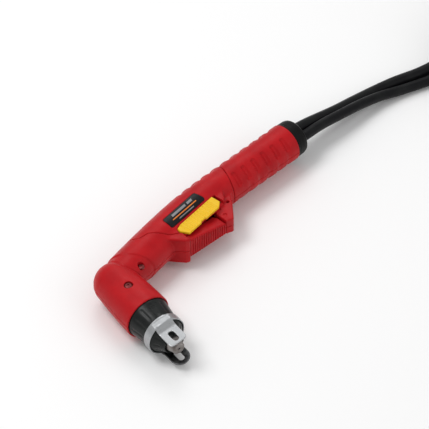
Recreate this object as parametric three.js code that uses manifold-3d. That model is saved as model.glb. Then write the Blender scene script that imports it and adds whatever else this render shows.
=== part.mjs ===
// A hand torch for plasma cutting, lying on its side, with its two leads coiled beside it.
//
// Units are millimetres and +Z is up. The torch is laid out in its own frame: +X runs back along the handle
// from near the elbow of the head, the nozzle points towards -Y, and the plane z = 0 is the symmetry plane
// in which the handle and the head lie. The left side (+z) faces up. At the end the whole group is moved so
// that the torch lies centred on the surface z = 0.

import * as THREE from 'three';
import { mergeVertices } from 'three/addons/utils/BufferGeometryUtils.js';
import Module from 'manifold-3d';

const wasm = await Module();
wasm.setup();

// ---------------------------------------------------------------------------------------------------------
// Driving dimensions
// ---------------------------------------------------------------------------------------------------------

const GAP = 0.3; // clearance between pieces that touch
const WALL = 2.2; // shell wall

const HEAD_R = 20; // red jacket at its mouth
const DOME_R = 17.6; // red jacket at its domed top, over the elbow
const NECK_R = 16.9; // handle behind the dome
const MID_R = 16.9; // handle at the trigger
const GRIP_R = 15.9; // rear grip
const HANDLE_RISE = 17.6; // how far the grip's axis lies above the start of the centre line, and
const HANDLE_RUN = 150; // how far back it reaches that height
const GRIP_END = 211; // rear end of the grip shells
const COLLAR_END = 223; // rear face of the end collar
const FLOOR = -HEAD_R; // the surface on which the torch lies

const HEAD_ANGLE = THREE.MathUtils.degToRad(-99.6); // the head's axis, from +X
const MOUTH = 45; // along the head's axis: the jacket's mouth
const RING_TOP = 63; // the spacer's band
const RING_END = 70.4;
const NOZZLE_FACE = 87.6;
const LEG_END = 92.8;
const SPACER_TURN = THREE.MathUtils.degToRad(12); // the spacer sits turned on the cup

const HOUSING_HALF = 13; // half width of the trigger housing
const CATCH_TILT = THREE.MathUtils.degToRad(6.5); // the catch slides along the handle's slope
const CATCH_TRAVEL = 3.2;
const TRIGGER_PIVOT = new THREE.Vector2(75.5, -3.5);
const SWITCH_X = 92; // where the trigger meets the switch plunger

const POWER_D = 10; // power lead
const CONTROL_D = 8.5; // control lead

// Materials: colour, roughness, metalness.
const RED = ['#c4181c', 0.45, 0];
const BLACK = ['#17191a', 0.55, 0];
const YELLOW = ['#efc21d', 0.5, 0];
const STEEL = ['#b9bcbd', 0.35, 1];
const NICKEL = ['#a9aaa8', 0.4, 1];
const BRASS = ['#c39a45', 0.35, 1];
const COPPER = ['#b87048', 0.35, 1];
const PHENOLIC = ['#5b2f22', 0.6, 0];
const RUBBER = ['#1d1f1f', 0.7, 0];
const NYLON = ['#e4e2da', 0.5, 0];

// ---------------------------------------------------------------------------------------------------------
// Solids
// ---------------------------------------------------------------------------------------------------------

const X = new THREE.Vector3(1, 0, 0);
const Y = new THREE.Vector3(0, 1, 0);
const Z = new THREE.Vector3(0, 0, 1);
const HEAD = new THREE.Vector3(Math.cos(HEAD_ANGLE), Math.sin(HEAD_ANGLE), 0);
const ELBOW = new THREE.Vector3(1.5, 0.3, 0); // where the head's axis meets the handle's

// A closed three.js geometry as a solid that can be joined and cut.
function solid(geometry) {
  const bare = geometry.index ? geometry.toNonIndexed() : geometry.clone();
  bare.deleteAttribute('normal');
  bare.deleteAttribute('uv');
  const merged = mergeVertices(bare, 1e-4);
  const faces = [];
  const index = merged.index.array;
  for (let i = 0; i < index.length; i += 3) {
    const [a, b, c] = [index[i], index[i + 1], index[i + 2]];
    if (a !== b && b !== c && c !== a) faces.push(a, b, c);
  }
  const vertProperties = merged.attributes.position.array;
  const closed = () => {
    const triVerts = new Uint32Array(faces);
    return new wasm.Manifold(new wasm.Mesh({ numProp: 3, vertProperties, triVerts }));
  };
  const made = closed();
  if (made.volume() > 0) return made;
  // The faces point inwards, so each one is turned over.
  for (let i = 0; i < faces.length; i += 3) [faces[i], faces[i + 1]] = [faces[i + 1], faces[i]];
  return closed();
}

function geometryOf(made) {
  const mesh = made.getMesh();
  const geometry = new THREE.BufferGeometry();
  geometry.setAttribute('position', new THREE.BufferAttribute(mesh.vertProperties, 3));
  geometry.setIndex(new THREE.BufferAttribute(mesh.triVerts, 1));
  return geometry;
}

function join(first, ...others) {
  return others.reduce((a, b) => a.add(b), first);
}

function cut(first, ...others) {
  return others.reduce((a, b) => a.subtract(b), first);
}

// A box between two corners.
function block(x0, x1, y0, y1, z0, z1) {
  const box = new THREE.BoxGeometry(x1 - x0, y1 - y0, z1 - z0);
  return solid(box.translate((x0 + x1) / 2, (y0 + y1) / 2, (z0 + z1) / 2));
}

// A profile of [radius, distance] points turned about the line through `from` along `axis`.
function turned(profile, from, axis, sides = 28) {
  const points = profile.map(([r, s]) => new THREE.Vector2(r, s));
  const open = profile[0][0] > 0 || profile[profile.length - 1][0] > 0;
  if (open) points.push(points[0].clone());
  const geometry = new THREE.LatheGeometry(points, sides);
  geometry.applyQuaternion(new THREE.Quaternion().setFromUnitVectors(Y, axis));
  return solid(geometry.translate(from.x, from.y, from.z));
}

function rod(radius, from, axis, start, end, sides = 20) {
  return turned([[0, start], [radius, start], [radius, end], [0, end]], from, axis, sides);
}

function tube(outer, inner, from, axis, start, end, sides = 28) {
  return turned([[inner, start], [outer, start], [outer, end], [inner, end]], from, axis, sides);
}

function shapeOf(points) {
  return new THREE.Shape(points.map(([x, y]) => new THREE.Vector2(x, y)));
}

// An outline of [x, y] points, or a THREE.Shape, extruded from z0 to z1.
function prism(outline, z0, z1, curveSegments = 6) {
  const shape = Array.isArray(outline) ? shapeOf(outline) : outline;
  const geometry = new THREE.ExtrudeGeometry(shape, { depth: z1 - z0, bevelEnabled: false, curveSegments });
  return solid(geometry.translate(0, 0, z0));
}

// A round tube of a fixed radius along a curve.
function swept(curve, radius, steps, sides = 10) {
  const section = new THREE.Shape();
  for (let i = 0; i < sides; i += 1) {
    const angle = (2 * Math.PI * i) / sides;
    const [x, y] = [radius * Math.cos(angle), radius * Math.sin(angle)];
    if (i === 0) section.moveTo(x, y);
    else section.lineTo(x, y);
  }
  section.closePath();
  return solid(new THREE.ExtrudeGeometry(section, { steps, extrudePath: curve, bevelEnabled: false }));
}

// Moves a solid that was built about the origin along +Z so that it stands at `at`, along `axis`.
function stood(geometry, at, axis) {
  geometry.applyQuaternion(new THREE.Quaternion().setFromUnitVectors(Z, axis));
  return solid(geometry.translate(at.x, at.y, at.z));
}

function polygonPrism(sides, acrossFlats, length) {
  const geometry = new THREE.CylinderGeometry(1, 1, length, sides);
  const radius = acrossFlats / 2 / Math.cos(Math.PI / sides);
  return geometry.scale(radius, 1, radius).rotateX(Math.PI / 2).translate(0, 0, length / 2);
}

const torch = new THREE.Group();
const leads = new THREE.Group();

function add(group, name, shape, [color, roughness, metalness]) {
  const material = new THREE.MeshStandardMaterial({ color, roughness, metalness });
  const mesh = new THREE.Mesh(geometryOf(shape), material);
  mesh.name = name;
  group.add(mesh);
}

// ---------------------------------------------------------------------------------------------------------
// The handle's centre line and the round body along it
// ---------------------------------------------------------------------------------------------------------

// The centre line climbs as a quarter of a sine wave and then runs level.
function centreY(x) {
  return x < HANDLE_RUN ? HANDLE_RISE * Math.sin((Math.PI * x) / (2 * HANDLE_RUN)) : HANDLE_RISE;
}

function centreSlope(x) {
  const steepest = (HANDLE_RISE * Math.PI) / (2 * HANDLE_RUN);
  return x < HANDLE_RUN ? steepest * Math.cos((Math.PI * x) / (2 * HANDLE_RUN)) : 0;
}

// The handle's radius: it thins from the neck to the grip.
function handleRadius(x) {
  const toMid = THREE.MathUtils.smoothstep(x, 40, 60);
  const toGrip = THREE.MathUtils.smoothstep(x, 95, 150);
  const front = THREE.MathUtils.lerp(NECK_R, MID_R, toMid);
  return THREE.MathUtils.lerp(front, GRIP_R, toGrip);
}

// The round body from x0 to x1, `grow` larger than the handle's skin, bent along the centre line.
function roundBody(x0, x1, grow, steps = 10, sides = 28) {
  const profile = [new THREE.Vector2(0, x0)];
  for (let i = 0; i <= steps; i += 1) {
    const x = THREE.MathUtils.lerp(x0, x1, i / steps);
    profile.push(new THREE.Vector2(handleRadius(x) + grow, x));
  }
  profile.push(new THREE.Vector2(0, x1));
  const geometry = new THREE.LatheGeometry(profile, sides, Math.PI / sides);
  const position = geometry.attributes.position;
  for (let i = 0; i < position.count; i += 1) {
    const [across, x, z] = [position.getX(i), position.getY(i), position.getZ(i)];
    const slope = centreSlope(x);
    const length = Math.hypot(1, slope);
    position.setXYZ(i, x - (across * slope) / length, centreY(x) + across / length, z);
  }
  return solid(geometry);
}

// The head's jacket along the head's axis: a dome over the elbow that widens to the mouth.
function jacketRadius(along) {
  return THREE.MathUtils.lerp(DOME_R, HEAD_R, Math.sin((Math.PI / 2) * Math.min(along / MOUTH, 1)));
}

function headBody(grow, end) {
  const profile = [];
  const arcs = 5;
  const dome = DOME_R + grow;
  for (let i = 0; i < arcs; i += 1) {
    const angle = (Math.PI / 2) * (i / arcs);
    profile.push([dome * Math.sin(angle), -dome * Math.cos(angle)]);
  }
  const flares = 4;
  for (let i = 0; i <= flares; i += 1) {
    const along = (end * i) / flares;
    profile.push([jacketRadius(along) + grow, along]);
  }
  profile.push([0, end]);
  return turned(profile, ELBOW, HEAD, 28);
}

// The housing round the trigger: front horn, belly and rear horn, in side view.
const frontHorn = [[48, 6], [57.5, -3.2], [66, -13.8], [68.5, -15.2], [70.3, -15.2], [70.3, -8.5], [74, 4]];
const belly = [[58, 8], [60, -2.5], [69, -8.6], [108.5, -6.6], [122, -1.5], [128, 8]];
const rearHorn = [
  [104, 0], [108.4, -9], [108.4, -17.2], [113.8, -19], [115.2, -18.6], [125.3, -7.2], [134, 4.5],
];
const insideBelly = [[62, 6], [64, -1.5], [71, -6], [106, -4.6], [118, 2], [122, 8]];

const outerSkin = join(
  roundBody(0, GRIP_END, 0),
  headBody(0, MOUTH),
  prism(frontHorn, -HOUSING_HALF, HOUSING_HALF),
  prism(belly, -HOUSING_HALF + 0.4, HOUSING_HALF - 0.4),
  prism(rearHorn, -7.6, 7.6),
);
const innerSpace = join(
  roundBody(0, GRIP_END + 5, -WALL, 8, 16),
  headBody(-WALL + 0.4, MOUTH + 0.1),
  rod(HEAD_R - 1.2, ELBOW, HEAD, MOUTH - 9, MOUTH + 5, 30),
  prism(insideBelly, -HOUSING_HALF + 3, HOUSING_HALF - 3),
);

// ---------------------------------------------------------------------------------------------------------
// Cuts in the shells
// ---------------------------------------------------------------------------------------------------------

// Where the trigger comes out between the horns.
const triggerWindow = prism([[70.9, 0], [70.9, -30], [108, -30], [108, 0]], -10.5, 10.5);

// The trigger turns on a pin that is held in both side walls of the housing.
const pivot = new THREE.Vector3(TRIGGER_PIVOT.x, TRIGGER_PIVOT.y, 0);
const PIN_R = 1.25;
const PIN_HALF = 11;
const pinHole = rod(PIN_R + 0.2, pivot, Z, -PIN_HALF - GAP, PIN_HALF + GAP, 14);

// The catch lies in a track on the left side. Its outline, in its own axes, is long with cut corners.
const catchCentre = new THREE.Vector2(91.8, -2.6);
const CATCH_LONG = 47;
const CATCH_WIDE = 11.6;
const CATCH_FLOOR = 11.6;
const CATCH_TOP = 14.3;

function catchOutline(grow, travel) {
  const [long, wide] = [CATCH_LONG / 2 + grow, CATCH_WIDE / 2 + grow];
  const rear = long + travel;
  const points = [
    [-long + 1, 1.5], [-long + 4.5, -wide], [rear - 5, -wide], [rear, -2.5], [rear, wide],
    [-long + 7, wide], [-long + 2, wide - 1.2],
  ];
  return points.map(([x, y]) => onCatch(x, y).toArray());
}

// A point given in the catch's own axes, and a box-shaped bar laid along them.
function onCatch(x, y) {
  return new THREE.Vector2(x, y).rotateAround(new THREE.Vector2(0, 0), CATCH_TILT).add(catchCentre);
}

function catchBar(along, across, z0, z1, x, y) {
  const bar = new THREE.BoxGeometry(along, across, z1 - z0).rotateZ(CATCH_TILT);
  const at = onCatch(x, y);
  return solid(bar.translate(at.x, at.y, (z0 + z1) / 2));
}

// The catch's stem runs in a slot through the track's floor, above the trigger.
const catchTrack = prism(catchOutline(GAP, CATCH_TRAVEL + 0.4), CATCH_FLOOR, 30);
const SLOT_LONG = 17;
const SLOT_WIDE = 5;
const SLOT_SIDE = 3.2;
const catchSlot = catchBar(SLOT_LONG, SLOT_WIDE, 4, 30, 0, SLOT_SIDE);

// The label lies in a shallow recess above the catch.
const labelOutline = (grow) => {
  const shape = new THREE.Shape();
  const [g, r] = [grow, 2.4];
  const corners = [[67 - g, 3 - g], [66.4 - g, 13 + g], [106 + g, 17 + g], [108.6 + g, 7.2 - g]];
  const path = corners.map(([x, y]) => new THREE.Vector2(x, y));
  path.forEach((corner, i) => {
    const before = path[(i + 3) % 4].clone().sub(corner).setLength(r).add(corner);
    const after = path[(i + 1) % 4].clone().sub(corner).setLength(r).add(corner);
    if (i === 0) shape.moveTo(before.x, before.y);
    else shape.lineTo(before.x, before.y);
    shape.quadraticCurveTo(corner.x, corner.y, after.x, after.y);
  });
  shape.closePath();
  return shape;
};
const labelRecess = cut(prism(labelOutline(GAP), 5, 30, 3), roundBody(55, 125, -0.8, 6));

// Shallow slots across both flanks of the grip, and scallops across its back and underside.
const GROOVE_PITCH = 11;
const groovePlaces = (first, count) => Array.from({ length: count }, (_, i) => first + i * GROOVE_PITCH);

function flankSlot(x, side) {
  const slot = new THREE.BoxGeometry(3.4, 12.5, 3);
  const angle = THREE.MathUtils.degToRad(41);
  slot.translate(0, 0, handleRadius(x) + 0.2).rotateX(side > 0 ? angle : Math.PI - angle);
  return solid(slot.translate(x, centreY(x), 0));
}

function backScallop(x) {
  const slot = new THREE.BoxGeometry(5, 3, 20).translate(0, 1.5, 0).rotateZ(Math.atan(centreSlope(x)));
  return solid(slot.translate(x, centreY(x) + handleRadius(x) - 0.9, 0));
}

const gripCuts = [
  ...groovePlaces(144.8, 6).flatMap((x) => [flankSlot(x, 1), flankSlot(x, -1)]),
  ...groovePlaces(102.5, 10).map((x) => backScallop(x)),
];

// Screws across the handle. Each has its head in a counterbore on one side (1 left, -1 right), and its
// heights are measured towards that side: the seat under the head, the tip, and the end of the boss.
const SCREWS = [
  { name: 'head_screw', side: 1, x: -4.6, y: -20.6, headR: 3.4, seat: 16.7, tip: 10.5, bossEnd: 14 },
  { name: 'neck_screw', side: 1, x: 22.5, y: -7.5, headR: 2.7, seat: 9, tip: -8.5, bossEnd: -20 },
  { name: 'rear_screw', side: -1, x: 120, y: 1, headR: 2.7, seat: 9, tip: -8.5, bossEnd: -20 },
];
const SHANK_R = 1.5;
const BOSS_R = 4.2;

const screwHoles = SCREWS.map(({ side, x, y, headR, seat, tip }) => {
  const at = new THREE.Vector3(x, y, 0);
  const axis = Z.clone().multiplyScalar(side);
  const counterbore = rod(headR + GAP, at, axis, seat, 40, 18);
  return join(counterbore, rod(SHANK_R + GAP, at, axis, tip - GAP, seat + 1, 12));
});
const screwBosses = SCREWS.map(({ side, x, y, bossEnd }) => (
  rod(BOSS_R, new THREE.Vector3(x, y, 0), Z.clone().multiplyScalar(side), bossEnd, 20, 14)
));

// A small dimple in each flank of the rear horn.
const hornDimples = [1, -1].map((side) => (
  rod(1.5, new THREE.Vector3(112.6, -11.3, 0), Z.clone().multiplyScalar(side), 6.4, 10, 12)
));

// ---------------------------------------------------------------------------------------------------------
// Shells
// ---------------------------------------------------------------------------------------------------------

// The seams between the front, middle and grip shells slope across the handle, seen from the side.
const FRONT_SEAM = [[32, 40], [34, 19], [39, 12], [48, 10.8], [61, 0], [70.6, -5], [70.6, -30]];
const REAR_SEAM = [[149.5, 45], [134.6, -5], [134.6, -30]];
const FAR = 60;

function sectionOutline(front, rear) {
  const half = GAP / 2;
  const forward = front ? front.map(([x, y]) => [x + half, y + half]) : [[-FAR, FAR], [-FAR, -FAR]];
  const back = rear ? rear.map(([x, y]) => [x - half, y - half]) : [[GRIP_END, FAR], [GRIP_END, -FAR]];
  const top = [[back[0][0], FAR], [forward[0][0], FAR]];
  const bottom = [[forward[forward.length - 1][0], -FAR], [back[back.length - 1][0], -FAR]];
  return [...top, ...forward, ...bottom, ...back.reverse()];
}

const hollow = cut(outerSkin, innerSpace);
const bossed = join(hollow, ...screwBosses.map((boss) => boss.intersect(outerSkin)));

// The copper tube and what it carries pass through the bosses' space, so the bosses are relieved round it.
class CentreLine extends THREE.Curve {
  constructor(x0, x1, dy = 0, dz = 0) {
    super();
    this.ends = [x0, x1];
    this.offset = [dy, dz];
  }

  getPoint(t, target = new THREE.Vector3()) {
    const x = THREE.MathUtils.lerp(this.ends[0], this.ends[1], t);
    return target.set(x, centreY(x) + this.offset[0], this.offset[1]);
  }
}

const TUBE_R = 4;
const TUBE_END = 166;
const TUBE_RISE = 2; // the tube runs a little above the handle's axis, clear of the switch
const tubeRelief = swept(new CentreLine(4, TUBE_END, TUBE_RISE), TUBE_R + 1, 10, 8);
const headRelief = rod(16.7, ELBOW, HEAD, 4, MOUTH + 1, 24);

function shell(front, rear, side) {
  const section = prism(sectionOutline(front, rear), side > 0 ? GAP / 2 : -FAR, side > 0 ? FAR : -GAP / 2);
  const cuts = [triggerWindow, pinHole, tubeRelief, headRelief, ...gripCuts, ...screwHoles, ...hornDimples];
  if (side > 0) cuts.push(catchTrack, catchSlot, labelRecess);
  const pieces = cut(bossed.intersect(section), ...cuts).decompose();
  return pieces.sort((a, b) => b.volume() - a.volume())[0];
}

for (const [side, label] of [[1, 'left'], [-1, 'right']]) {
  add(torch, `front_shell_${label}`, shell(null, FRONT_SEAM, side), RED);
  add(torch, `mid_shell_${label}`, shell(FRONT_SEAM, REAR_SEAM, side), RED);
  add(torch, `grip_shell_${label}`, shell(REAR_SEAM, null, side), RED);
}

// ---------------------------------------------------------------------------------------------------------
// Screws
// ---------------------------------------------------------------------------------------------------------

for (const { name, side, x, y, headR, seat, tip } of SCREWS) {
  const at = new THREE.Vector3(x, y, 0);
  const axis = Z.clone().multiplyScalar(side);
  const under = seat + GAP;
  const top = under + 1.7;
  const headProfile = [[0, under], [headR, under], [headR, top - 0.8], [headR - 1, top], [0, top]];
  const head = turned(headProfile, at, axis, 18);
  const shank = rod(SHANK_R, at, axis, tip, seat + 1, 10);
  const recess = [[3.4, 0.8], [0.8, 3.4]].map(([wide, high]) => {
    const bar = new THREE.BoxGeometry(wide, high, 2).translate(0, 0, top);
    return stood(bar, at, axis);
  });
  add(torch, name, cut(join(head, shank), ...recess), STEEL);
}

// ---------------------------------------------------------------------------------------------------------
// Label, safety catch and its inner retainer
// ---------------------------------------------------------------------------------------------------------

const labelSkin = cut(roundBody(55, 125, 0.15, 6, 40), roundBody(55, 125, -0.35, 6, 40));
const labelPieces = labelSkin.intersect(prism(labelOutline(0), 5, 30, 3)).decompose();
add(torch, 'label_plate', labelPieces.sort((a, b) => b.volume() - a.volume())[0], BLACK);

// Ribs run across the catch, and a notch is cut in its edge beside the trigger.
const CATCH_RIBS = 11;
const catchGrooves = Array.from({ length: CATCH_RIBS }, (_, i) => {
  const place = (i - (CATCH_RIBS - 1) / 2) * 3.4;
  return catchBar(0.8, 30, CATCH_TOP - 0.5, CATCH_TOP + 2, place, 0);
});
const STEM_LONG = SLOT_LONG - CATCH_TRAVEL - 1;
const STEM_PLACE = -CATCH_TRAVEL / 2;
const catchStem = catchBar(STEM_LONG, SLOT_WIDE - 0.8, 8.2, CATCH_FLOOR + 1, STEM_PLACE, SLOT_SIDE);
const catchNotch = catchBar(5, 2.2, CATCH_FLOOR, CATCH_TOP + 1, -0.5, -CATCH_WIDE / 2);
const catchBody = cut(prism(catchOutline(0, 0), CATCH_FLOOR + GAP, CATCH_TOP), ...catchGrooves, catchNotch);
add(torch, 'safety_catch', join(catchBody, catchStem), YELLOW);
add(torch, 'catch_retainer', catchBar(10.5, 6.4, 6.6, 7.9, STEM_PLACE, SLOT_SIDE), STEEL);

// ---------------------------------------------------------------------------------------------------------
// Trigger, its pin and torsion spring
// ---------------------------------------------------------------------------------------------------------

const FINGER_FRONT = new THREE.Vector2(71.6, -14.2);
const FINGER_REAR = new THREE.Vector2(107.3, -18.4);
const TRIGGER_FRONT_HALF = 10.2;
const TRIGGER_REAR_HALF = 6;

const triggerSide = [
  [71.6, -14.2], [71.6, -4.5], [78.5, -4.5], [104.5, -4.5], [107.3, -8], [107.3, -17.6], [106.3, -18.4],
];
const triggerPlan = new THREE.Shape();
triggerPlan.moveTo(FINGER_FRONT.x - 1, -TRIGGER_FRONT_HALF);
triggerPlan.lineTo(FINGER_REAR.x + 1, -TRIGGER_REAR_HALF);
triggerPlan.lineTo(FINGER_REAR.x + 1, TRIGGER_REAR_HALF);
triggerPlan.lineTo(FINGER_FRONT.x - 1, TRIGGER_FRONT_HALF);
triggerPlan.closePath();
const planGeometry = new THREE.ExtrudeGeometry(triggerPlan, { depth: 40, bevelEnabled: false });
const triggerTaper = solid(planGeometry.rotateX(-Math.PI / 2).rotateX(Math.PI).translate(0, 10, 0));

const TRIGGER_RIBS = 15;
const ribSpan = FINGER_REAR.clone().sub(FINGER_FRONT);
const ribTurn = Math.atan2(ribSpan.y, ribSpan.x);
const ribGrooves = Array.from({ length: TRIGGER_RIBS }, (_, i) => {
  const place = FINGER_FRONT.clone().addScaledVector(ribSpan, (i + 0.8) / (TRIGGER_RIBS + 0.8));
  const groove = new THREE.BoxGeometry(0.9, 1.4, 30).rotateZ(ribTurn);
  return solid(groove.translate(place.x, place.y, 0));
});

const BARREL_R = 3;
const triggerBlock = cut(
  join(prism(triggerSide, -11, 11).intersect(triggerTaper), rod(BARREL_R, pivot, Z, -8.5, 8.5, 18)),
  rod(PIN_R + 0.25, pivot, Z, -20, 20, 16),
  block(pivot.x - 5, pivot.x + 4.2, pivot.y - 3.8, pivot.y + 4, -3.4, 3.4),
  prism([[80.5, 0], [80.5, -11], [104.5, -14.5], [104.5, 0]], -4.2, 4.2),
  ...ribGrooves,
);
const triggerPad = block(SWITCH_X - 3, SWITCH_X + 3, -8, -4.5, -4.6, 4.6);
add(torch, 'trigger', join(triggerBlock, triggerPad), RED);
add(torch, 'trigger_pin', rod(PIN_R, pivot, Z, -PIN_HALF, PIN_HALF, 14), STEEL);
const springCoil = tube(2.7, 1.6, pivot, Z, -2.9, 2.9, 16);
const springLeg = block(pivot.x - 0.4, pivot.x + 0.4, pivot.y + 2, pivot.y + 4.2, 2, 2.8);
add(torch, 'trigger_spring', join(springCoil, springLeg), STEEL);

// ---------------------------------------------------------------------------------------------------------
// Switch
// ---------------------------------------------------------------------------------------------------------

const SWITCH_BOTTOM = 0.2;
const SWITCH_HIGH = 7.4;
const PLUNGER_R = 1.4;
const plungerAt = new THREE.Vector3(SWITCH_X, 0, 0);
const switchBody = cut(
  block(SWITCH_X - 11, SWITCH_X + 8.8, SWITCH_BOTTOM, SWITCH_BOTTOM + SWITCH_HIGH, -3.2, 3.2),
  rod(PLUNGER_R + 0.25, plungerAt, Y, -5, SWITCH_BOTTOM + 4.8, 12),
);
const switchTabs = [-1.6, 1.6].map((z) => block(SWITCH_X + 8.5, SWITCH_X + 12, 3, 3.6, z - 0.8, z + 0.8));
add(torch, 'micro_switch', join(switchBody, ...switchTabs), BLACK);
add(torch, 'switch_plunger', rod(PLUNGER_R, plungerAt, Y, -4.1, SWITCH_BOTTOM + 3, 12), NYLON);

// ---------------------------------------------------------------------------------------------------------
// Torch head and its consumables, turned about the head's axis
// ---------------------------------------------------------------------------------------------------------

const sideHole = swept(new CentreLine(ELBOW.x, 30, TUBE_RISE), TUBE_R + GAP, 3, 12);

const torchHeadProfile = [
  [6.4, -8], [9, -8], [13, -4.5], [14.6, 2], [16.2, 16], [16.2, 34], [13.1, 34], [13.1, 50], [8.9, 50],
  [8.9, 43], [6.4, 43],
];
add(torch, 'torch_head', cut(turned(torchHeadProfile, ELBOW, HEAD, 24), sideHole, screwHoles[0]), PHENOLIC);

const cathodeProfile = [[0, -7.5], [6, -7.5], [6, 39.5], [3.3, 39.5], [3.3, 22], [0, 22]];
add(torch, 'cathode_body', turned(cathodeProfile, ELBOW, HEAD, 24), BRASS);
const electrodeProfile = [[0, 26], [3, 26], [3, 40], [4.9, 40], [4.9, 70], [3.2, 75], [0, 75]];
add(torch, 'electrode', turned(electrodeProfile, ELBOW, HEAD, 20), COPPER);
add(torch, 'swirl_ring', tube(8.5, 5.3, ELBOW, HEAD, 43.4, 57.8, 24), PHENOLIC);
const nozzleProfile = [
  [6.6, 58.2], [10.4, 58.2], [10.4, 64.5], [8.1, 66.2], [8.1, 77], [7.1, 81], [5.6, 84.8],
  [5.3, NOZZLE_FACE - 0.6], [4.7, NOZZLE_FACE], [0.9, NOZZLE_FACE], [0.9, 83.5], [5.6, 77.5], [6.6, 70],
];
add(torch, 'nozzle', turned(nozzleProfile, ELBOW, HEAD, 20), NICKEL);

const cupProfile = [
  [16.3, 39], [18.4, 39], [18.4, 46], [17.3, 52], [15.9, 61], [15.9, 69.6], [14.9, 70.6], [11.9, 74.4],
  [9.6, 79], [9.2, 80.6], [8.5, 80.6], [8.5, 68], [10.9, 66.6], [10.9, 53], [16.3, 53],
];
add(torch, 'shield_cup', turned(cupProfile, ELBOW, HEAD, 28), BLACK);
add(torch, 'cup_insert', tube(15.9, 13.5, ELBOW, HEAD, 39.4, 52.6, 24), BRASS);

const oRing = [];
for (let i = 0; i < 6; i += 1) {
  const angle = (2 * Math.PI * i) / 6;
  oRing.push([14.6 + 1.1 * Math.cos(angle), 36.4 + 1.1 * Math.sin(angle)]);
}
add(torch, 'head_o_ring', turned(oRing, ELBOW, HEAD, 18), RUBBER);

// The spacer: a band round the cup with two slotted legs that hold the nozzle off the work.
const LEG_HALF = 8;
const LEG_Z = 13;
const LEG_THICK = 1.5;
function spacerSolid() {
  const band = tube(17, 16.2, new THREE.Vector3(), Z, RING_TOP, RING_END, 26);
  const legs = [1, -1].map((side) => {
    const [outer, inner] = [LEG_Z + LEG_THICK / 2, LEG_Z - LEG_THICK / 2];
    const profile = [
      [16.2, 65], [17.1, 65], [17.1, RING_END], [outer, 75.2], [outer, LEG_END], [inner, LEG_END],
      [inner, 74.8], [16.2, RING_END - 0.2],
    ].map(([z, s]) => [side * z, s]);
    // Built with the leg's profile in x and y, then turned so that the profile's x is the leg's height.
    const strip = new THREE.ExtrudeGeometry(shapeOf(profile), { depth: 2 * LEG_HALF, bevelEnabled: false });
    strip.translate(0, 0, -LEG_HALF).applyMatrix4(new THREE.Matrix4().makeBasis(X, Z, Y.clone().negate()));
    return solid(strip);
  });
  // The plan that both legs are cut to: a round end and an oblong slot.
  const plan = new THREE.Shape();
  plan.moveTo(-LEG_HALF, 50);
  plan.lineTo(LEG_HALF, 50);
  plan.lineTo(LEG_HALF, LEG_END - LEG_HALF);
  plan.absarc(0, LEG_END - LEG_HALF, LEG_HALF, 0, Math.PI);
  plan.closePath();
  const slot = new THREE.Path();
  const [slotHalf, slotFirst, slotLast] = [2.6, 80.6, 86.8];
  slot.absarc(0, slotLast, slotHalf, 0, Math.PI);
  slot.absarc(0, slotFirst, slotHalf, Math.PI, 2 * Math.PI);
  slot.closePath();
  plan.holes.push(slot);
  const planCut = new THREE.ExtrudeGeometry(plan, { depth: 60, bevelEnabled: false, curveSegments: 8 });
  planCut.translate(0, 0, -30).applyMatrix4(new THREE.Matrix4().makeBasis(Y, Z, X));
  const legsCut = join(legs[0], legs[1]).intersect(solid(planCut));
  return join(band, legsCut);
}

// The spacer was built along +Z with its legs at +x and -x: turn it onto the head's axis, legs up and down.
const spacerTurn = new THREE.Matrix4().makeBasis(Z, HEAD.clone().cross(Z), HEAD);
spacerTurn.premultiply(new THREE.Matrix4().makeRotationAxis(HEAD, SPACER_TURN)).setPosition(ELBOW);
add(torch, 'spacer', solid(geometryOf(spacerSolid()).applyMatrix4(spacerTurn)), STEEL);

// ---------------------------------------------------------------------------------------------------------
// Inside the handle: the copper tube, the lead's coupling, the clamp, the wires and the end collar
// ---------------------------------------------------------------------------------------------------------

const tubeStart = ELBOW.x + 8;
add(torch, 'neck_tube', swept(new CentreLine(tubeStart, TUBE_END, TUBE_RISE), TUBE_R, 10, 12), COPPER);

const POWER_Y = HANDLE_RISE + 4.7; // where the leads leave the collar
const CONTROL_Y = HANDLE_RISE - 5.4;
const powerLine = new THREE.Vector3(0, POWER_Y, 0);
const controlLine = new THREE.Vector3(0, CONTROL_Y, 0);
const tubeLine = new THREE.Vector3(0, HANDLE_RISE + TUBE_RISE, 0);

// The union nut on the tube's end, and the ferrule crimped on the lead.
const nutHex = stood(polygonPrism(6, 15, 11), new THREE.Vector3(TUBE_END - 9, tubeLine.y, 0), X);
add(torch, 'lead_nut', cut(nutHex, rod(TUBE_R + GAP, tubeLine, X, TUBE_END - 20, TUBE_END + 20, 16)), BRASS);
const ferrule = new THREE.CatmullRomCurve3([
  new THREE.Vector3(TUBE_END + 2.6, tubeLine.y, 0),
  new THREE.Vector3(TUBE_END + 12, tubeLine.y + 0.5, 0),
  new THREE.Vector3(TUBE_END + 22, POWER_Y - 0.5, 0),
  new THREE.Vector3(TUBE_END + 31, POWER_Y, 0),
]);
add(torch, 'hose_ferrule', swept(ferrule, 4.4, 8, 14), BRASS);

const CLAMP_START = 199.5;
const CLAMP_END = 207;
const clampBody = cut(
  rod(12.6, new THREE.Vector3(0, HANDLE_RISE, 0), X, CLAMP_START, CLAMP_END, 28),
  rod(POWER_D / 2 + GAP, powerLine, X, 150, 260, 20),
  rod(CONTROL_D / 2 + GAP, controlLine, X, 150, 260, 20),
);
add(torch, 'cable_clamp', clampBody, BLACK);

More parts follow.
